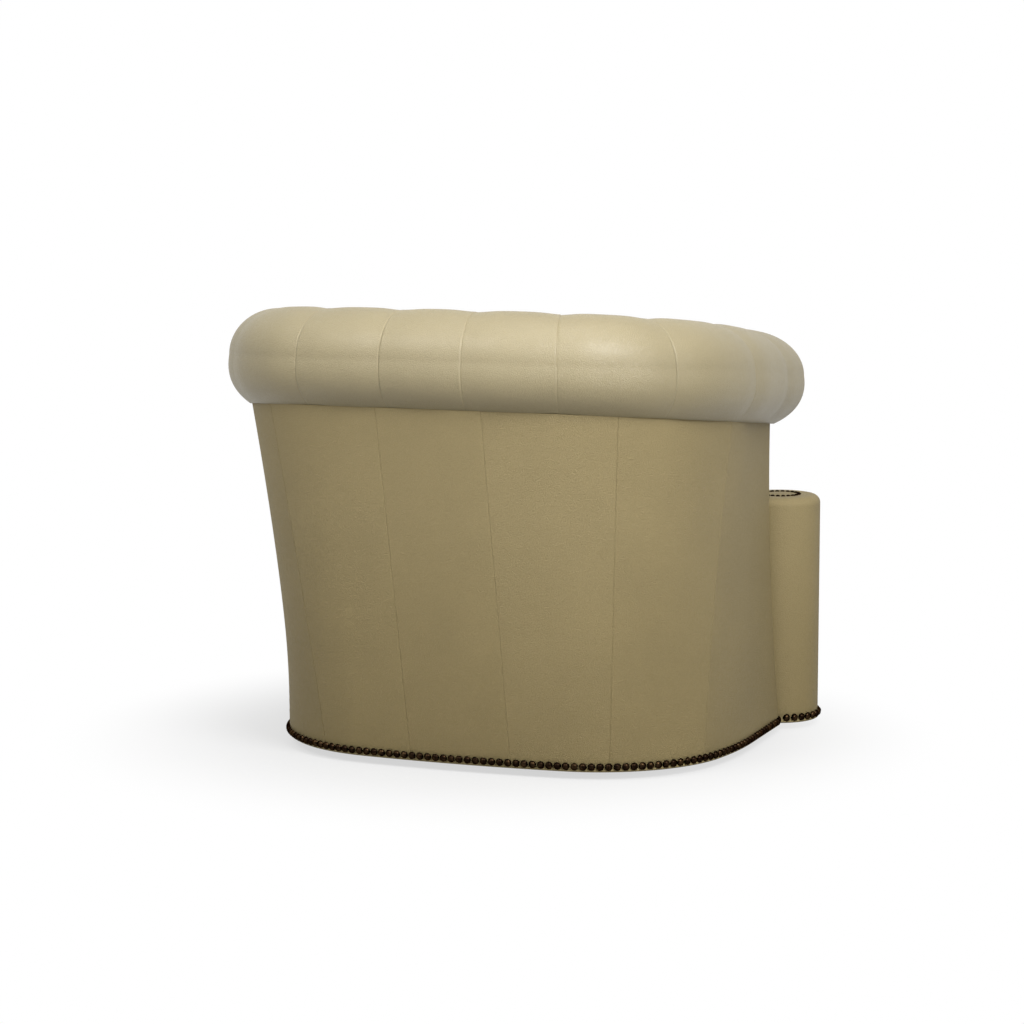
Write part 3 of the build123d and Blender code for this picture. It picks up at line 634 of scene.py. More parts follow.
def tuft_depth(distance, drop):
    """Depth of the folds and button dimples at points of the inside."""
    depth = np.zeros_like(distance)
    dimple = np.zeros_like(distance)
    for (x1, y1), (x2, y2) in fold_lines:
        run = np.array([x2 - x1, y2 - y1])
        share = np.clip(((distance - x1) * run[0] + (drop - y1) * run[1]) / (run @ run), 0.0, 1.0)
        off = np.hypot(distance - x1 - share * run[0], drop - y1 - share * run[1])
        fold = fold_depth * np.exp(-off / fold_width) + crease_depth * np.exp(-off / crease_width)
        depth = np.maximum(depth, fold)
    for x, y in button_places:
        dimple = np.maximum(dimple, dimple_depth * bell(np.hypot(distance - x, drop - y), dimple_width))
    return np.maximum(depth, dimple) + dimple_overlap * np.minimum(depth, dimple)


def pleat_depth(distance):
    """Draw-in of the roll's outside: a soft hollow and a sharp fold at each pleat, laid over to one side."""
    depth = np.zeros_like(distance)
    for pleat in pleats:
        for side in (1, -1):
            off = distance - side * pleat
            near = np.abs(off)
            lap = pleat_lap * np.sign(off) * side * np.exp(-near / pleat_lap_width)
            depth = depth + lap * (1 - np.exp(-near / pleat_lap_edge))
            depth = depth + pleat_hollow * bell(off, pleat_hollow_width)
            depth = depth + pleat_fold * bell(off, pleat_fold_width)
    return depth


def roll_depth(distance, across, up, below):
    """Draw-in of a loop of the roll: pleats outside, tufting inside, nothing at its foot."""
    inside = across < 0
    along = np.full_like(across, distance)
    drop = np.where(inside & (up < 0), drape_roll * below, 0.0)
    share = np.where(inside, np.clip(-up / roll_blend + 1.0, 0.0, 1.0), 0.0)
    depth = pleat_depth(along) * (1 - share) + tuft_depth(along, drop) * share
    near = tuft_depth(along, np.where(up > 0, up * roll_tuft_stretch, drop))
    near = near * np.clip(1 - up / roll_tuft_reach, 0, 1)
    depth = np.where(inside & (up > 0), np.maximum(depth, near), depth)
    return depth * np.clip(1.0 - below ** 4, 0.0, 1.0)


def nose_swell(distance):
    """How much wider the roll is at a distance along it than over the back."""
    share = (abs(distance) - pleats[3]) / (nose_start - pleats[3])
    return nose_growth * min(max(share, 0.0), 1.0)


def roll_centre(distance):
    """Centre of the roll's section, the direction out of the chair, and the heading."""
    x, y, heading = map(float, outline_point(seam_outline, np.array(distance), wall_depth / 2))
    side = -1.0 if distance < 0 else 1.0
    out = np.array([side * math.sin(heading), math.cos(heading), 0.0])
    return np.array([x, y, float(seam_plane(y)) + roll_clearance + roll_rise]), out, heading


def roll_loop(distance, scale, lift):
    """Points and UVs of one loop round the roll."""
    centre, out, heading = roll_centre(distance)
    foot = wall_depth / 2
    tilt = seam_slope * foot * math.cos(heading)
    half_width = (roll_half_width + nose_swell(distance)) * scale
    rise = roll_rise * scale
    across, up = roll_profile(half_width, roll_top_height * scale, rise, foot * scale, tilt * scale,
                              min(nose_rounding * (1 - scale), 1.0))
    below = np.clip(-up / rise, 0.0, 1.0)
    depth = roll_depth(distance, across, up, below) * scale
    shrink = 1 - depth / np.maximum(np.hypot(across, up), 1e-6)
    centre[2] += lift
    loop = centre + np.outer(across * shrink, out) + np.outer(up * shrink, [0.0, 0.0, 1.0])
    bend = nose_length * (math.acos(scale) - math.sqrt(1 - scale * scale))
    around = lengths(np.column_stack([across, up]))
    return loop, np.column_stack([np.full_like(around, distance + nose_grain * bend), around])


def roll_piece(name, distances, scales, node):
    """Stretch of the roll from loops at distances along it, scaled down towards its nose."""
    rows = [roll_loop(distance, scale, nose_lift * (1 - scale)) for distance, scale in zip(distances, scales)]
    points, uv = (np.array(column) for column in zip(*rows))
    build(name, [(points, uv)], leather_roll, node)


def stretch(bounds, step):
    """Distances along the roll, close together at each bound."""
    runs = [a + spaced(b - a, step) for a, b in zip(bounds[:-1], bounds[1:])]
    return np.concatenate([runs[0]] + [run[1:] for run in runs[1:]])


def parted(distances):
    """Distances with a small gap left at both ends."""
    distances[0] += panel_gap
    distances[-1] -= panel_gap
    return distances


back_run = parted(stretch((-pleats[2], -pleats[1], -pleats[0], pleats[0], pleats[1], pleats[2]), roll_step))
roll_piece("back_roll_leather", back_run, np.ones_like(back_run), "back_roll")

nose_angles = (np.linspace(0.0, 0.995, 26) * math.pi / 2)[1:]
for word, side in sides.items():
    arm_run = stretch((pleats[2], pleats[3], pleats[4], nose_start), roll_step)
    arm_run[0] += panel_gap
    scales = np.concatenate([np.ones_like(arm_run), np.cos(nose_angles)])
    arm_run = np.concatenate([arm_run, nose_start + nose_length * np.sin(nose_angles)])
    roll_piece(f"{word}_arm_roll_leather", side * arm_run, scales, f"{word}_arm_roll")


# Tufted padding inside the back and arms

def pad_crown(rise):
    """Crown of the padding: a parabola that is 0 at its foot and top and full at the crown's rise."""
    foot = rise_at(pad_foot_height) / 2
    return inside_crown * (rise - foot) * (rise - 1) / ((inside_crown_rise - foot) * (inside_crown_rise - 1))


def pad_lean(rise):
    """How far the padding stands forward of the wall at a rise."""
    return wall_lean * (1 - rise) / (1 - rise_at(deck_height))


def pad_bounds(first, last):
    """Ends of a pad along the roll's seam and the button columns between them."""
    low, high = float(seam_distance(first)), float(seam_distance(last))
    columns = {round(side * m, 4) for m in middles + list(pleats[:2]) for side in (1, -1)}
    first_column, last_column = low + button_edge_space, high - button_edge_space
    return [low] + sorted(float(d) for d in columns if first_column < d < last_column) + [high]


def inside_pad(name, first, last, side, node):
    """Padding with diamond folds above and upright folds below its buttons."""
    distance = parted(stretch(pad_bounds(first, last), pad_step))
    low = rise_at(deck_height - deck_thickness)
    rises = np.concatenate([np.linspace(low, 0.6, 34), np.linspace(0.6, 1.0, 62)[1:]])
    station, rise = np.meshgrid(side * station_at(distance), rises)
    distance = np.broadcast_to(distance, station.shape)
    drop = drape_roll + (1 - rise) * wall_height
    fade = np.clip((rise - rise_at(fold_start_height)) / fold_fade, 0.0, 1.0)
    folds = tuft_depth(distance.copy(), drop) * (low_fold_share + (1 - low_fold_share) * fade)
    inset = wall_depth + np.maximum(pad_crown(rise), 0.0) + inside_puff - folds
    inner = wall_point(station, rise, inset, pad_lean(rise))
    outer = wall_point(station, rise, wall_depth - inside_padding)
    points = np.concatenate([inner, outer[:, ::-1]], axis=1)
    uv = np.stack([distance, drop], axis=-1)
    uv = np.concatenate([uv, uv[:, ::-1] + 2.0], axis=1)
    build(name, [(points, uv)], leather_inside, node)


inside_pad("inside_back_leather", -back_pad_station, back_pad_station, 1, "inside_back")
for word, side in sides.items():
    inside_pad(f"{word}_inside_arm_leather", back_pad_station, wall_end_station, side, f"{word}_inside_arm")


# Facing round the front edge of each arm

def between(start, end, count):
    """Points inside a straight run, without its ends."""
    return start + (end - start) * np.linspace(0.0, 1.0, count)[1:-1, None]


def facing_loop(side, height):
    """Loop round an arm's front edge: outer corner, slightly full front, inner corner, flat back."""
    rise = height / wall_height
    (outer_back, outer), (inner_back, inner) = (
        [wall_point(side * station, rise, inset) for station in (wall_end_station, front_station)]
        for inset in (0.0, wall_depth))
    along = (outer - outer_back) / np.linalg.norm(outer - outer_back)
    across = (inner - outer) / np.linalg.norm(inner - outer)
    corner = min(np.linalg.norm(outer - outer_back), facing_depth) - facing_inset
    angles = np.linspace(0.0, math.pi / 2, 12)[:, None]
    near = across * corner * (1 - np.cos(angles))
    back = along * corner * (1 - np.sin(angles))
    outer_arc, inner_arc = outer + near - back, inner - near - back
    steps = np.linspace(0.0, 1.0, 18)[1:-1, None]
    front = between(outer_arc[-1], inner_arc[-1], 18) + along * facing_crown * 4 * steps * (1 - steps)
    flat = np.concatenate([[inner_back], between(inner_back, outer_back, 44)])
    round_part = np.concatenate([[outer_back], outer_arc, front, inner_arc[::-1]])
    middle = ((outer_back + inner_back) / 2 - along * facing_middle)[:2]
    radius = np.linalg.norm(round_part[:, :2] - middle, axis=1)[:, None]
    round_part[:, :2] = middle + (round_part[:, :2] - middle) * (1 - hem_form(height) / radius)
    return np.concatenate([round_part, flat])


for word, side in sides.items():
    facing = np.array([facing_loop(side, height) for height in cover_heights()])
    build(f"{word}_facing_leather", [(facing, None)], leather_side, f"{word}_arm_facing")


# Posts: padded leather column with a nailed ring on top, and the neck to the arm

def arc(centre_r, centre_z, radius, start, end, count):
    angles = np.radians(np.linspace(start, end, count))
    return [(centre_r + radius * math.cos(a), centre_z + radius * math.sin(a)) for a in angles]


def post_profile():
    """Half section as (radius, height): over the padded top, down outside, under the hem and up inside."""
    top = [(max(nail_ring_radius * share, post_axis), post_height + rise) for share, rise in post_crown]
    shoulder_z = post_height - post_shoulder
    shoulder = arc(post_radius - post_shoulder, shoulder_z, post_shoulder, 90, 0, 14)
    heights = np.concatenate([np.linspace(shoulder_z - hem_height, hem_steps[-1], 60)[1:], hem_steps[-2::-1]])
    side = [(post_radius - float(hem_form(height)), hem_height + height) for height in heights]
    inner_top = post_height - post_padding
    inner = [(post_bore, height) for height in (hem_height, hem_height + post_bore_step, inner_top)]
    return top + shoulder + side + inner + [(post_axis, inner_top)]


def column(side):
    """Grid and UV map of a post's round part."""
    profile = np.array(post_profile())
    angles = np.linspace(0.0, 2 * math.pi, 96, endpoint=False)
    radius, height = profile[:, :1], profile[:, 1:]
    x = side * (post_x + radius * np.cos(angles))
    y = post_y + radius * np.sin(angles)
    uv = np.stack(np.meshgrid(angles * post_radius, lengths(profile)), axis=-1)
    return np.stack([x, y, height + 0.0 * angles], axis=-1), uv


def neck_loop(side, height):
    """Loop of the neck between a post and its arm, drawn in at the hem and at its rounded top."""
    top = post_height - post_shoulder
    over = max(height - top, 0.0)
    draw = post_shoulder - math.sqrt(max(post_shoulder ** 2 - (over / neck_shoulder) ** 2, 0.0))
    draw += float(hem_form(height - hem_height))
    rise = rise_at(min(height, top))
    outer = wall_point(side * front_station, rise, facing_depth)
    inner = wall_point(side * front_station, rise, facing_depth + neck_width)
    back_y = outer[1] - post_gap - neck_lean * over
    run = np.linspace(back_y, post_y, 12)
    right = [(outer[0] - side * draw, y, height) for y in run]
    left = [(inner[0] + side * draw, y, height) for y in run[::-1]]
    return right + left


neck_top = post_height - post_shoulder
neck_heights = np.concatenate([
    hem_height + np.array(hem_steps), np.linspace(hem_height + hem_steps[-1], neck_top, 40)[1:],
    neck_top + neck_shoulder * post_shoulder * np.sin(np.linspace(0, math.pi / 2, 9))[1:]])
for word, side in sides.items():
    neck = np.array([neck_loop(side, height) for height in neck_heights])
    post = build(f"{word}_post_leather", [column(side), (neck, None)], leather_post, f"{word}_post_cover")


# Front apron

apron_reach = post_x - math.sqrt(post_radius ** 2 - (apron_front_y - post_y) ** 2)


def apron():
    """Upright panel between the posts with a rolled top edge."""
    roll = apron_thickness / 2
    heights = cover_heights()
    heights = heights[heights < apron_top - hem_height - roll]
    front = [(apron_front_y + float(hem_form(height)), hem_height + height) for height in heights]
    top = arc(apron_front_y + roll, apron_top - roll, roll, 180, 0, 14)
    back = [(apron_front_y + apron_thickness, height)
            for height in np.linspace(apron_top - roll, hem_height, len(front) + 2)[1:-1]]
    section = front + top + back
    section = section[:2 * (len(section) // 2)]
    reach = apron_reach - post_gap
    rows = np.array([[(x, y, z) for y, z in section] for x in np.linspace(-reach, reach, 90)])
    build("front_apron_leather", [(rows, None)], leather_side, "front_apron")


apron()


# Seat cushion, blown up by cloth simulation between its welts

def three_point_arc(a, b, c, count):
    """Points on the circle through three plan points, without the last."""
    a, b, c = (complex(*point) for point in (a, b, c))
    turn = (c - a) / (b - a)
    centre = a + (b - a) * (turn - abs(turn) ** 2) / (2j * turn.imag)
    start, middle, end = (math.atan2((point - centre).imag, (point - centre).real) for point in (a, b, c))
    through, sweep = (middle - start) % (2 * math.pi), (end - start) % (2 * math.pi)
    if through > sweep:
        sweep -= 2 * math.pi
    spots = centre + abs(a - centre) * np.exp(1j * (start + sweep * np.arange(count) / count))
    return list(zip(spots.real, spots.imag))


def seat_plan(inset, scale=1.0):
    """Plan of the cushion at an inset from its widest line, scaled about its middle."""
    half = (seat_half_width - inset) * scale
    middle = (seat_back_y + cushion_front_y) / 2
    front = middle + (cushion_front_y + inset - middle) * scale
    back = middle + (seat_back_y - inset - middle) * scale
    corner, rear = cushion_corner * scale, seat_back_corner * scale
    bow, bulge, back_bow = cushion_bow * scale, seat_side_bow * scale, seat_back_bow * scale
    reach = 1 - math.sqrt(0.5)
    half_plan = [
        (0.0, front - bow), (half - corner, front), (half - corner * reach, front + corner * reach),
        (half, front + corner), (half + bulge, (front + corner + back - rear) / 2), (half, back - rear),
        (half - rear * reach, back - rear * reach), (half - rear, back),
    ]
    plan = half_plan + [(0.0, back + back_bow)] + [(-x, y) for x, y in reversed(half_plan[1:])]
    knots = plan[-1:] + plan
    outline = []
    for number, count in enumerate((40, 8, 30, 14, 28, 14, 30, 8)):
        outline += three_point_arc(*knots[2 * number:2 * number + 3], count)
    return np.array(outline)


def level_ring(plan, height):
    return np.column_stack([plan, np.full(len(plan), height)])


def cushion_grid(slack):
    """Rings from the middle of the underside, round the boxing, to the middle of the crowned top."""
    top = cushion_bottom + cushion_thickness
    rings = [(cushion_draw, scale, cushion_bottom) for scale in (0.02, 0.2, 0.4, 0.6, 0.8, 0.93)]
    for share in np.linspace(0.0, 1.0, 13):
        inset = cushion_draw - (cushion_draw - slack) * 4 * share * (1 - share)
        rings.append((inset, 1.0, cushion_bottom + cushion_thickness * share))
    for scale in (0.985, 0.95, 0.9, 0.8, 0.65, 0.5, 0.35, 0.2, 0.02):
        rings.append((cushion_draw, scale, top + (cushion_crown - slack) * (1 - scale ** 2.6)))
    return np.array([level_ring(seat_plan(inset, scale), height) for inset, scale, height in rings])


def point_array(mesh):
    points = np.empty(3 * len(mesh.vertices), dtype=np.float32)
    mesh.vertices.foreach_get("co", points)
    return points.reshape(-1, 3).astype(float)


def applied(piece, kind, **settings):
    """Mesh of a piece with one modifier applied."""
    modifier = piece.modifiers.new(kind.lower(), kind)
    for key, value in settings.items():
        setattr(modifier, key, value)
    graph = bpy.context.evaluated_depsgraph_get()
    mesh = bpy.data.meshes.new_from_object(piece.evaluated_get(graph))
    piece.modifiers.remove(modifier)
    return mesh


def hold_seams(pad, seams):
    """Pin the points of a pad that lie at its seams."""
    tree = kdtree.KDTree(len(seams))
    for number, point in enumerate(seams):
        tree.insert(point, number)
    tree.balance()
    held = pad.vertex_groups.new(name="seams")
    near = [k for k, point in enumerate(point_array(pad.data)) if tree.find(point)[2] < seam_hold]
    held.add(near, 1.0, "REPLACE")


def blown_up(pad):
    """Points of a pad after cloth simulation with pressure inside."""
    cloth = pad.modifiers.new("cloth", "CLOTH")
    cloth.settings.use_pressure = True
    cloth.settings.uniform_pressure_force = cushion_pressure
    cloth.settings.effector_weights.gravity = 0.0
    cloth.settings.vertex_group_mass = "seams"
    for number in range(1, cushion_frames + 1):
        bpy.context.scene.frame_set(number)
    graph = bpy.context.evaluated_depsgraph_get()
    points = point_array(pad.evaluated_get(graph).data)
    pad.modifiers.remove(cloth)
    bpy.context.scene.frame_set(1)
    return points


def puff(piece, seams):
    """Blow a pad up between its held seams, no point further than its reach and none below its foot."""
    pad = bpy.data.objects.new("pad", piece.data.copy())
    bpy.context.scene.collection.objects.link(pad)
    pad.data = applied(pad, "REMESH", mode="VOXEL", voxel_size=cushion_voxel)
    start = point_array(pad.data)
    hold_seams(pad, seams)
    move = blown_up(pad) - start
    reach = np.linalg.norm(move, axis=1)[:, None]
    points = start + move * np.minimum(1.0, cushion_reach / np.maximum(reach, 1e-9))
    points[:, 2] = np.maximum(points[:, 2], cushion_bottom)
    pad.data.vertices.foreach_set("co", points.astype(np.float32).ravel())
    mesh = applied(pad, "SUBSURF", levels=1, render_levels=1)
    mesh.polygons.foreach_set("use_smooth", np.ones(len(mesh.polygons), dtype=bool))
    mesh.materials.clear()
    mesh.materials.append(leather_seat)
    bpy.data.objects.remove(pad)
    piece.data = mesh


def welt(name, path):
    """Piped cord sewn along a closed path of points."""
    ahead = np.roll(path, -1, axis=0) - np.roll(path, 1, axis=0)
    ahead = ahead / np.linalg.norm(ahead, axis=1)[:, None]
    side = np.cross(ahead, [0.0, 0.0, 1.0])
    side = side / np.linalg.norm(side, axis=1)[:, None]
    lifted = np.cross(side, ahead)
    angles = np.linspace(0.0, 2 * math.pi, 10, endpoint=False)
    points = np.array([path + welt_radius * (math.cos(a) * side + math.sin(a) * lifted) for a in angles])
    flat = points.reshape(-1, 3)
    index = np.arange(len(flat)).reshape(points.shape[:2])
    faces = outward(flat, tube_faces(np.concatenate([index, index[:1]])))
    return mesh_object(name, flat, faces, patch(points).reshape(-1, 2), leather_seat)


welt_plan = seat_plan(welt_inset)
welt_paths = {"top": level_ring(welt_plan, cushion_bottom + cushion_thickness - top_welt_drop),
              "bottom": level_ring(welt_plan, cushion_bottom + bottom_welt_lift)}
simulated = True
cushion_start = cushion_grid(cushion_slack if simulated else 0.0)
cushion = build("seat_cushion_leather", [(cushion_start, None)], leather_seat, "seat_cushion")
if simulated:
    puff(cushion, np.concatenate(list(welt_paths.values())))
for word, path in welt_paths.items():
    welt(f"cushion_{word}_welt", path)


# Nails and buttons

def dome(radius, crown, segments, rings, rim):
    """Closed dome on z = 0: rings of points from the rim to one top point, and a flat foot."""
    lean = np.repeat(math.pi / 2 * np.arange(rings) / rings, segments)
    angle = np.tile(2 * math.pi * np.arange(segments) / segments, rings)
    reach = radius * np.cos(lean)
    points = np.column_stack([reach * np.cos(angle), reach * np.sin(angle), rim + crown * np.sin(lean)])
    index = np.arange(rings * segments).reshape(rings, segments)
    tip = rings * segments
    caps = [[tip - segments + k, tip - segments + (k + 1) % segments, tip] for k in range(segments)]
    foot = list(reversed(range(segments)))
    return np.concatenate([points, [(0.0, 0.0, rim + crown)]]), tube_faces(index) + caps + [foot]


def scatter(name, form, places, material, node):
    """One mesh of copies of a form, each stood on a point along a normal."""
    shape, faces = form
    points, all_faces = [], []
    for place, normal in places:
        normal = np.asarray(normal, float) / np.linalg.norm(normal)
        across = np.cross([0.0, 0.0, 1.0], normal)
        if np.linalg.norm(across) < 0.01:
            across = np.array([1.0, 0.0, 0.0])
        across = across / np.linalg.norm(across)
        other = np.cross(normal, across)
        start = len(points) * len(shape)
        points.append(place + shape[:, :1] * across + shape[:, 1:2] * other + shape[:, 2:] * normal)
        all_faces += [[start + k for k in face] for face in faces]
    piece = mesh_object(name, np.concatenate(points), all_faces, None, material, (node,), smooth=60.0)


nail_rise = rise_at(nail_line)


def wall_nails():
    """Nails one pitch apart round the wall, square to it."""
    stations = np.linspace(-wall_end_station, wall_end_station, 4001)
    line = wall_point(stations, nail_rise)
    above = wall_point(stations, 2 * nail_rise)
    marks = lengths(line)
    count = int(marks[-1] / nail_pitch)
    places = []
    for mark in (np.arange(count) + 0.5) / count * marks[-1]:
        k = min(int(np.searchsorted(marks, mark)), len(marks) - 2)
        normal = np.cross(above[k] - line[k], line[k + 1] - line[k])
        places.append((line[k], normal if normal[:2] @ line[k][:2] > 0 else -normal))
    return places


def corner_nail(side):
    """Nail on the rounded outer corner of an arm's front edge."""
    corner = wall_point(side * front_station, nail_rise)
    inward = wall_point(side * front_station, nail_rise, wall_depth) - corner
    back = wall_point(side * wall_end_station, nail_rise) - corner
    out = -(inward / np.linalg.norm(inward) + back / np.linalg.norm(back))
    out = out / np.linalg.norm(out)
    return corner - out * facing_depth * (math.sqrt(2) - 1), out


def post_hem_nails(side):
    """Nails round a post, from its outer back to the apron."""
    pitch = nail_pitch / post_radius
    last = -math.pi + math.asin((apron_front_y - post_y) / -post_radius) + pitch / 2
    first = math.radians(post_nail_start)
    places = []
    for angle in np.linspace(first, last, int((first - last) / pitch) + 1):
        out = np.array([side * math.cos(angle), math.sin(angle), 0.0])
        places.append((np.array([side * post_x, post_y, nail_line]) + post_radius * out, out))
    return places


def apron_nails():
    count = int((2 * apron_reach - nail_pitch) / nail_pitch)
    return [(np.array([(number - (count - 1) / 2) * nail_pitch, apron_front_y, nail_line]), (0.0, -1.0, 0.0))
            for number in range(count)]


def post_top_nails(side):
    """Ring of small nails on a post."""
    count = int(2 * math.pi * nail_ring_radius / small_nail_pitch)
    angles = 2 * math.pi * np.arange(count) / count
    x = side * (post_x + nail_ring_radius * np.cos(angles))
    y = post_y + nail_ring_radius * np.sin(angles)
    ring = level_ring(np.column_stack([x, y]), post_height - small_nail_sink)
    return [(spot, (0.0, 0.0, 1.0)) for spot in ring]


def bronze():
    """Dark patina with rubbed, warmer crowns."""
    material, tree, shader = new_material("aged_bronze")
    place = object_place(tree)
    speck = noise(tree, place, 900.0, 3.0)
    # Here the mask gives random warmer patches of worn patina, no shade.
    painted_shade_and_wear = ramp(tree, noise(tree, place, 120.0, 2.0), 0.45, 0.65)
    wire(tree, shader, {
        "Base Color": mix(tree, painted_shade_and_wear, (0.009, 0.005, 0.003, 1.0), (0.036, 0.021, 0.010, 1.0)),
        "Metallic": 1.0, "Specular Tint": (0.30, 0.20, 0.12, 1.0),
        "Roughness": ramp(tree, speck, 0.3, 0.7, 0.24, 0.38), "Normal": bumped(tree, speck, 0.15, 0.0003),
    })
    return material


aged_bronze = bronze()
hem_places = wall_nails()
for side in (1, -1):
    hem_places += [corner_nail(side)] + post_hem_nails(side)
scatter("hem_nail_heads", dome(nail_radius, nail_crown, 12, 4, nail_rim), hem_places + apron_nails(),
        aged_bronze, "hem_nails")
small_nail = dome(small_nail_radius, small_nail_crown, 12, 3, small_nail_rim)
for word, side in sides.items():
    scatter(f"{word}_post_nail_heads", small_nail, post_top_nails(side), aged_bronze, f"{word}_post_nails")


def button_place(distance, drop):
    """Point and normal of a button on the inner face of the roll or of the padding below it."""
    if drop == 0.0:
        centre, out, _ = roll_centre(distance)
        return centre - out * (roll_half_width + nose_swell(distance) - button_sink), -out
    rise = 1 - (drop - drape_roll) / wall_height
    inset = wall_depth + float(pad_crown(rise)) + inside_puff - button_sink
    point, deeper = (wall_point(station_at(distance), rise, i, pad_lean(rise)) for i in (inset, inset + 0.01))
    return point, deeper - point


scatter("tufting_button_heads", dome(button_radius, button_height, 20, 6, button_rim),
        [button_place(*spot) for spot in button_places], leather_seat, "tufting_buttons")


# Finishes of the solids that stay: timber, steel, rubber, nylon and cloth

def timber(name, colour, dark, layers):
    """Sawn timber with long grain; plywood also shows its layers in height."""
    material, tree, shader = new_material(name)
    place = object_place(tree)
    long = add(tree, "Mapping", {"Vector": place, "Scale": (3.0, 40.0, 40.0)}).outputs[0]
    pores = noise(tree, long, 26.0, 2.0)
    shade = mix(tree, ramp(tree, noise(tree, long, 4.0, 6.0, distortion=0.6), 0.3, 0.7), dark, colour)
    if layers:
        wave = add(tree, "TexWave", {"Vector": place, "Scale": 105.0, "Distortion": 0.4},
                   wave_type="BANDS", bands_direction="Z").outputs["Fac"]
        edge = mix(tree, ramp(tree, wave, 0.35, 0.65), dark, colour)
        level = add(tree, "SeparateXYZ", {0: add(tree, "NewGeometry").outputs["Normal"]}).outputs[2]
        upright = ramp(tree, maths(tree, "ABSOLUTE", level), 0.5, 0.8, 1.0, 0.0)
        shade = mix(tree, upright, shade, edge)
    wire(tree, shader, {"Base Color": shade, "Roughness": ramp(tree, pores, 0.3, 0.7, 0.62, 0.8),
                        "Normal": bumped(tree, pores, 0.2, 0.0005)})
    return material


def zinc():
    """Spangled zinc plate."""
    material, tree, shader = new_material("zinc_plate")
    place = object_place(tree)
    cells = add(tree, "TexVoronoi", {"Vector": place, "Scale": 160.0}).outputs["Color"]
    tone = ramp(tree, add(tree, "SeparateColor", {0: cells}).outputs[0], 0.0, 1.0)
    smear = noise(tree, place, 40.0, 4.0)
    wire(tree, shader, {"Base Color": mix(tree, tone, (0.50, 0.51, 0.53, 1.0), (0.64, 0.65, 0.67, 1.0)),
                        "Metallic": 1.0, "Roughness": ramp(tree, smear, 0.3, 0.7, 0.26, 0.42)})
    return material


def weave(name, light, dark, scale):
    """Plain weave of two crossed sets of threads."""
    material, tree, shader = new_material(name)
    place = object_place(tree)
    warp, weft = (add(tree, "TexWave", {"Vector": place, "Scale": scale, "Distortion": 0.5},
                      bands_direction=way).outputs["Fac"] for way in ("X", "Y"))
    height = maths(tree, "MULTIPLY", warp, weft)
    fuzz = ramp(tree, noise(tree, place, 300.0, 3.0), 0.3, 0.7, 0.7, 1.1)
    share = maths(tree, "MULTIPLY", ramp(tree, height, 0.0, 0.8), fuzz)
    wire(tree, shader, {"Base Color": mix(tree, share, dark, light), "Roughness": 0.85,
                        "Normal": bumped(tree, height, 0.5, 0.0006)})
    return material


def moulded(name, colour, low, high, scale):
    """Moulded plastic or rubber with paler scuffs."""
    material, tree, shader = new_material(name)
    speck = noise(tree, object_place(tree), scale, 4.0)
    scuff = tuple(1.8 * channel + 0.01 for channel in colour[:3]) + (1.0,)
    wire(tree, shader, {"Base Color": mix(tree, ramp(tree, speck, 0.5, 0.8), colour, scuff),
                        "Roughness": ramp(tree, speck, 0.3, 0.7, low, high),
                        "Normal": bumped(tree, speck, 0.2, 0.0003)})
    return material


finishes = {
    "hardwood": timber("sawn_hardwood", (0.48, 0.33, 0.19, 1.0), (0.33, 0.21, 0.11, 1.0), False),
    "plywood": timber("birch_plywood", (0.62, 0.47, 0.30, 1.0), (0.38, 0.25, 0.14, 1.0), True),
    "zinc_steel": zinc(),
    "cage_plastic": moulded("nylon", (0.05, 0.05, 0.055, 1.0), 0.4, 0.55, 400.0),
    "black_rubber": moulded("rubber", (0.02, 0.02, 0.02, 1.0), 0.7, 0.9, 250.0),
    "black_cloth": weave("cambric", (0.045, 0.045, 0.048, 1.0), (0.012, 0.012, 0.013, 1.0), 260.0),
    "jute_webbing": weave("jute", (0.50, 0.37, 0.20, 1.0), (0.24, 0.16, 0.08, 1.0), 90.0),
    "deck_cloth": weave("deck_canvas", (0.20, 0.17, 0.10, 1.0), (0.10, 0.085, 0.05, 1.0), 160.0),
    "olive_leather": leather_seat,
    "bronzed_brass": aged_bronze,
}
for entry in frame["record"]["subparts"]:
    solid = frame["nodes"][entry["node"]]
    solid.data.materials.clear()
    solid.data.materials.append(finishes[entry["material_slot"]])


# Floor, backdrop, light and camera

floor_reach = 30.0
floor_glow = 0.63
floor_seen, floor_bounce = (0.17, 0.17, 0.17, 1.0), (0.36, 0.345, 0.32, 1.0)
fade_centre = (0.05, 0.0, 0.0)
fade_start, fade_end = 0.33, 0.76
sky_even, sky_front = 0.42, 0.36
behind_camera = (-0.341, 0.940, 0.0)
white = (1.0, 1.0, 1.0, 1.0)
softboxes = {
    "overhead_softbox": ((-0.2, 0.3, 2.6), (0.0, 0.1, 0.6), 1.6, 9.0),
    "right_softbox": ((-1.45, 1.6, 2.1), (0.0, 0.2, 0.5), 1.2, 80.0),
    "front_softbox": ((0.8, 1.8, 2.1), (0.0, 0.2, 0.5), 1.2, 31.0),
}
camera_place = (-1.8180, 5.0108, 1.0974)
camera_forward = (0.34228, -0.93011, -0.13350)
camera_lens, camera_sensor = 113.4, 36.0


def linked(name, data):
    """New object with its data, in the scene."""
    item = bpy.data.objects.new(name, data)
    bpy.context.scene.collection.objects.link(item)
    return item


def shown(tree):
    """1 for the rays that see the backdrop itself: from the camera, mirrored or through glass."""
    path = add(tree, "LightPath").outputs
    seen = maths(tree, "MAXIMUM", path["Is Camera Ray"], path["Is Glossy Ray"])
    return maths(tree, "MAXIMUM", seen, path["Is Transmission Ray"])


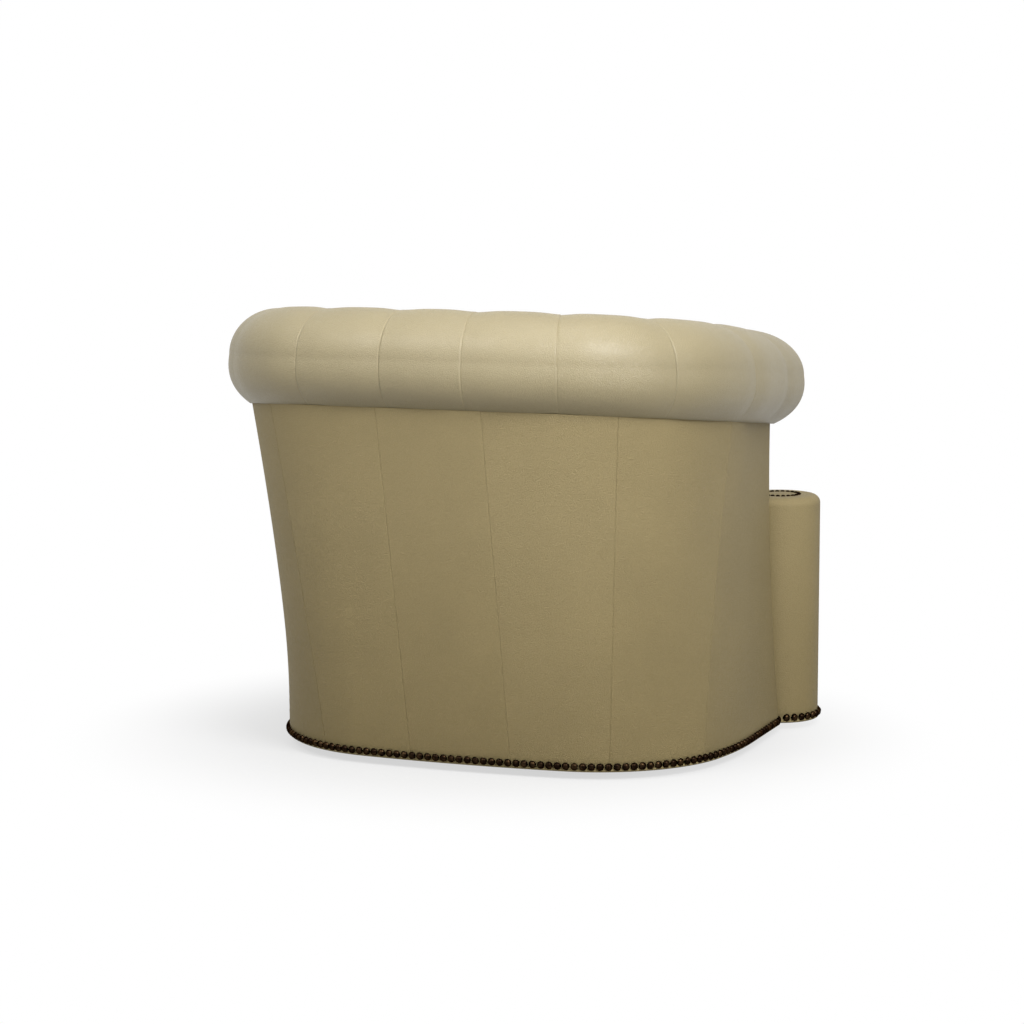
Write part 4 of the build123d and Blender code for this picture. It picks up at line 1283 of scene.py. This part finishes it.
def floor():
    """Pale floor that holds the chair's shadow and runs out to white."""
    mesh = bpy.data.meshes.new("floor")
    corners = [(x * floor_reach, y * floor_reach, 0.0) for x, y in ((-1, -1), (1, -1), (1, 1), (-1, 1))]
    mesh.from_pydata(corners, [], [(0, 1, 2, 3)])
    plane = linked("floor", mesh)
    material, tree, shader = new_material("studio_floor")
    seen = shown(tree)
    wire(tree, shader, {"Base Color": mix(tree, seen, floor_bounce, floor_seen), "Roughness": 1.0,
                        "Specular IOR Level": 0.0, "Emission Color": white,
                        "Emission Strength": maths(tree, "MULTIPLY", seen, floor_glow)})
    away = vector_maths(tree, "DISTANCE", {0: object_place(tree), 1: fade_centre}, "Value")
    fade = add(tree, "MapRange", {"Value": away, "From Min": fade_start, "From Max": fade_end},
               interpolation_type="SMOOTHSTEP").outputs["Result"]
    glow = add(tree, "Emission", {"Color": white, "Strength": 1.0}).outputs[0]
    faded = add(tree, "MixShader", {0: maths(tree, "MULTIPLY", fade, seen), 1: shader.outputs[0], 2: glow})
    wire(tree, tree.nodes["Material Output"], {"Surface": faded.outputs[0]})
    mesh.materials.append(material)


def world():
    """White to the camera; for light, a studio that is brighter behind the camera."""
    studio = bpy.data.worlds.new("studio")
    bpy.context.scene.world = studio
    studio.use_nodes = True
    tree = studio.node_tree
    tree.nodes.clear()
    direction = add(tree, "TexCoord").outputs["Generated"]
    facing = vector_maths(tree, "DOT_PRODUCT", {0: direction, 1: behind_camera}, "Value")
    strength = add(tree, "Math", {0: maths(tree, "MAXIMUM", facing, 0.0), 1: sky_front, 2: sky_even},
                   operation="MULTIPLY_ADD").outputs[0]
    light, plain = (add(tree, "Background", {"Color": white, "Strength": level}).outputs[0]
                    for level in (strength, 1.0))
    both = add(tree, "MixShader", {0: shown(tree), 1: light, 2: plain}).outputs[0]
    add(tree, "OutputWorld", {"Surface": both})


def softbox(name, place, aim, size, power):
    light = bpy.data.lights.new(name, "AREA")
    light.shape = "DISK"
    light.size = size
    light.energy = power
    lamp = linked(name, light)
    lamp.location = place
    lamp.rotation_euler = (Vector(aim) - Vector(place)).to_track_quat("-Z", "Y").to_euler()


def camera():
    data = bpy.data.cameras.new("camera")
    data.sensor_width = camera_sensor
    data.lens = camera_lens
    eye = linked("camera", data)
    eye.location = camera_place
    eye.rotation_euler = Vector(camera_forward).to_track_quat("-Z", "Y").to_euler()
    bpy.context.scene.camera = eye


floor()
world()
for name, settings in softboxes.items():
    softbox(name, *settings)
camera()
bpy.context.scene.view_settings.view_transform = "Standard"
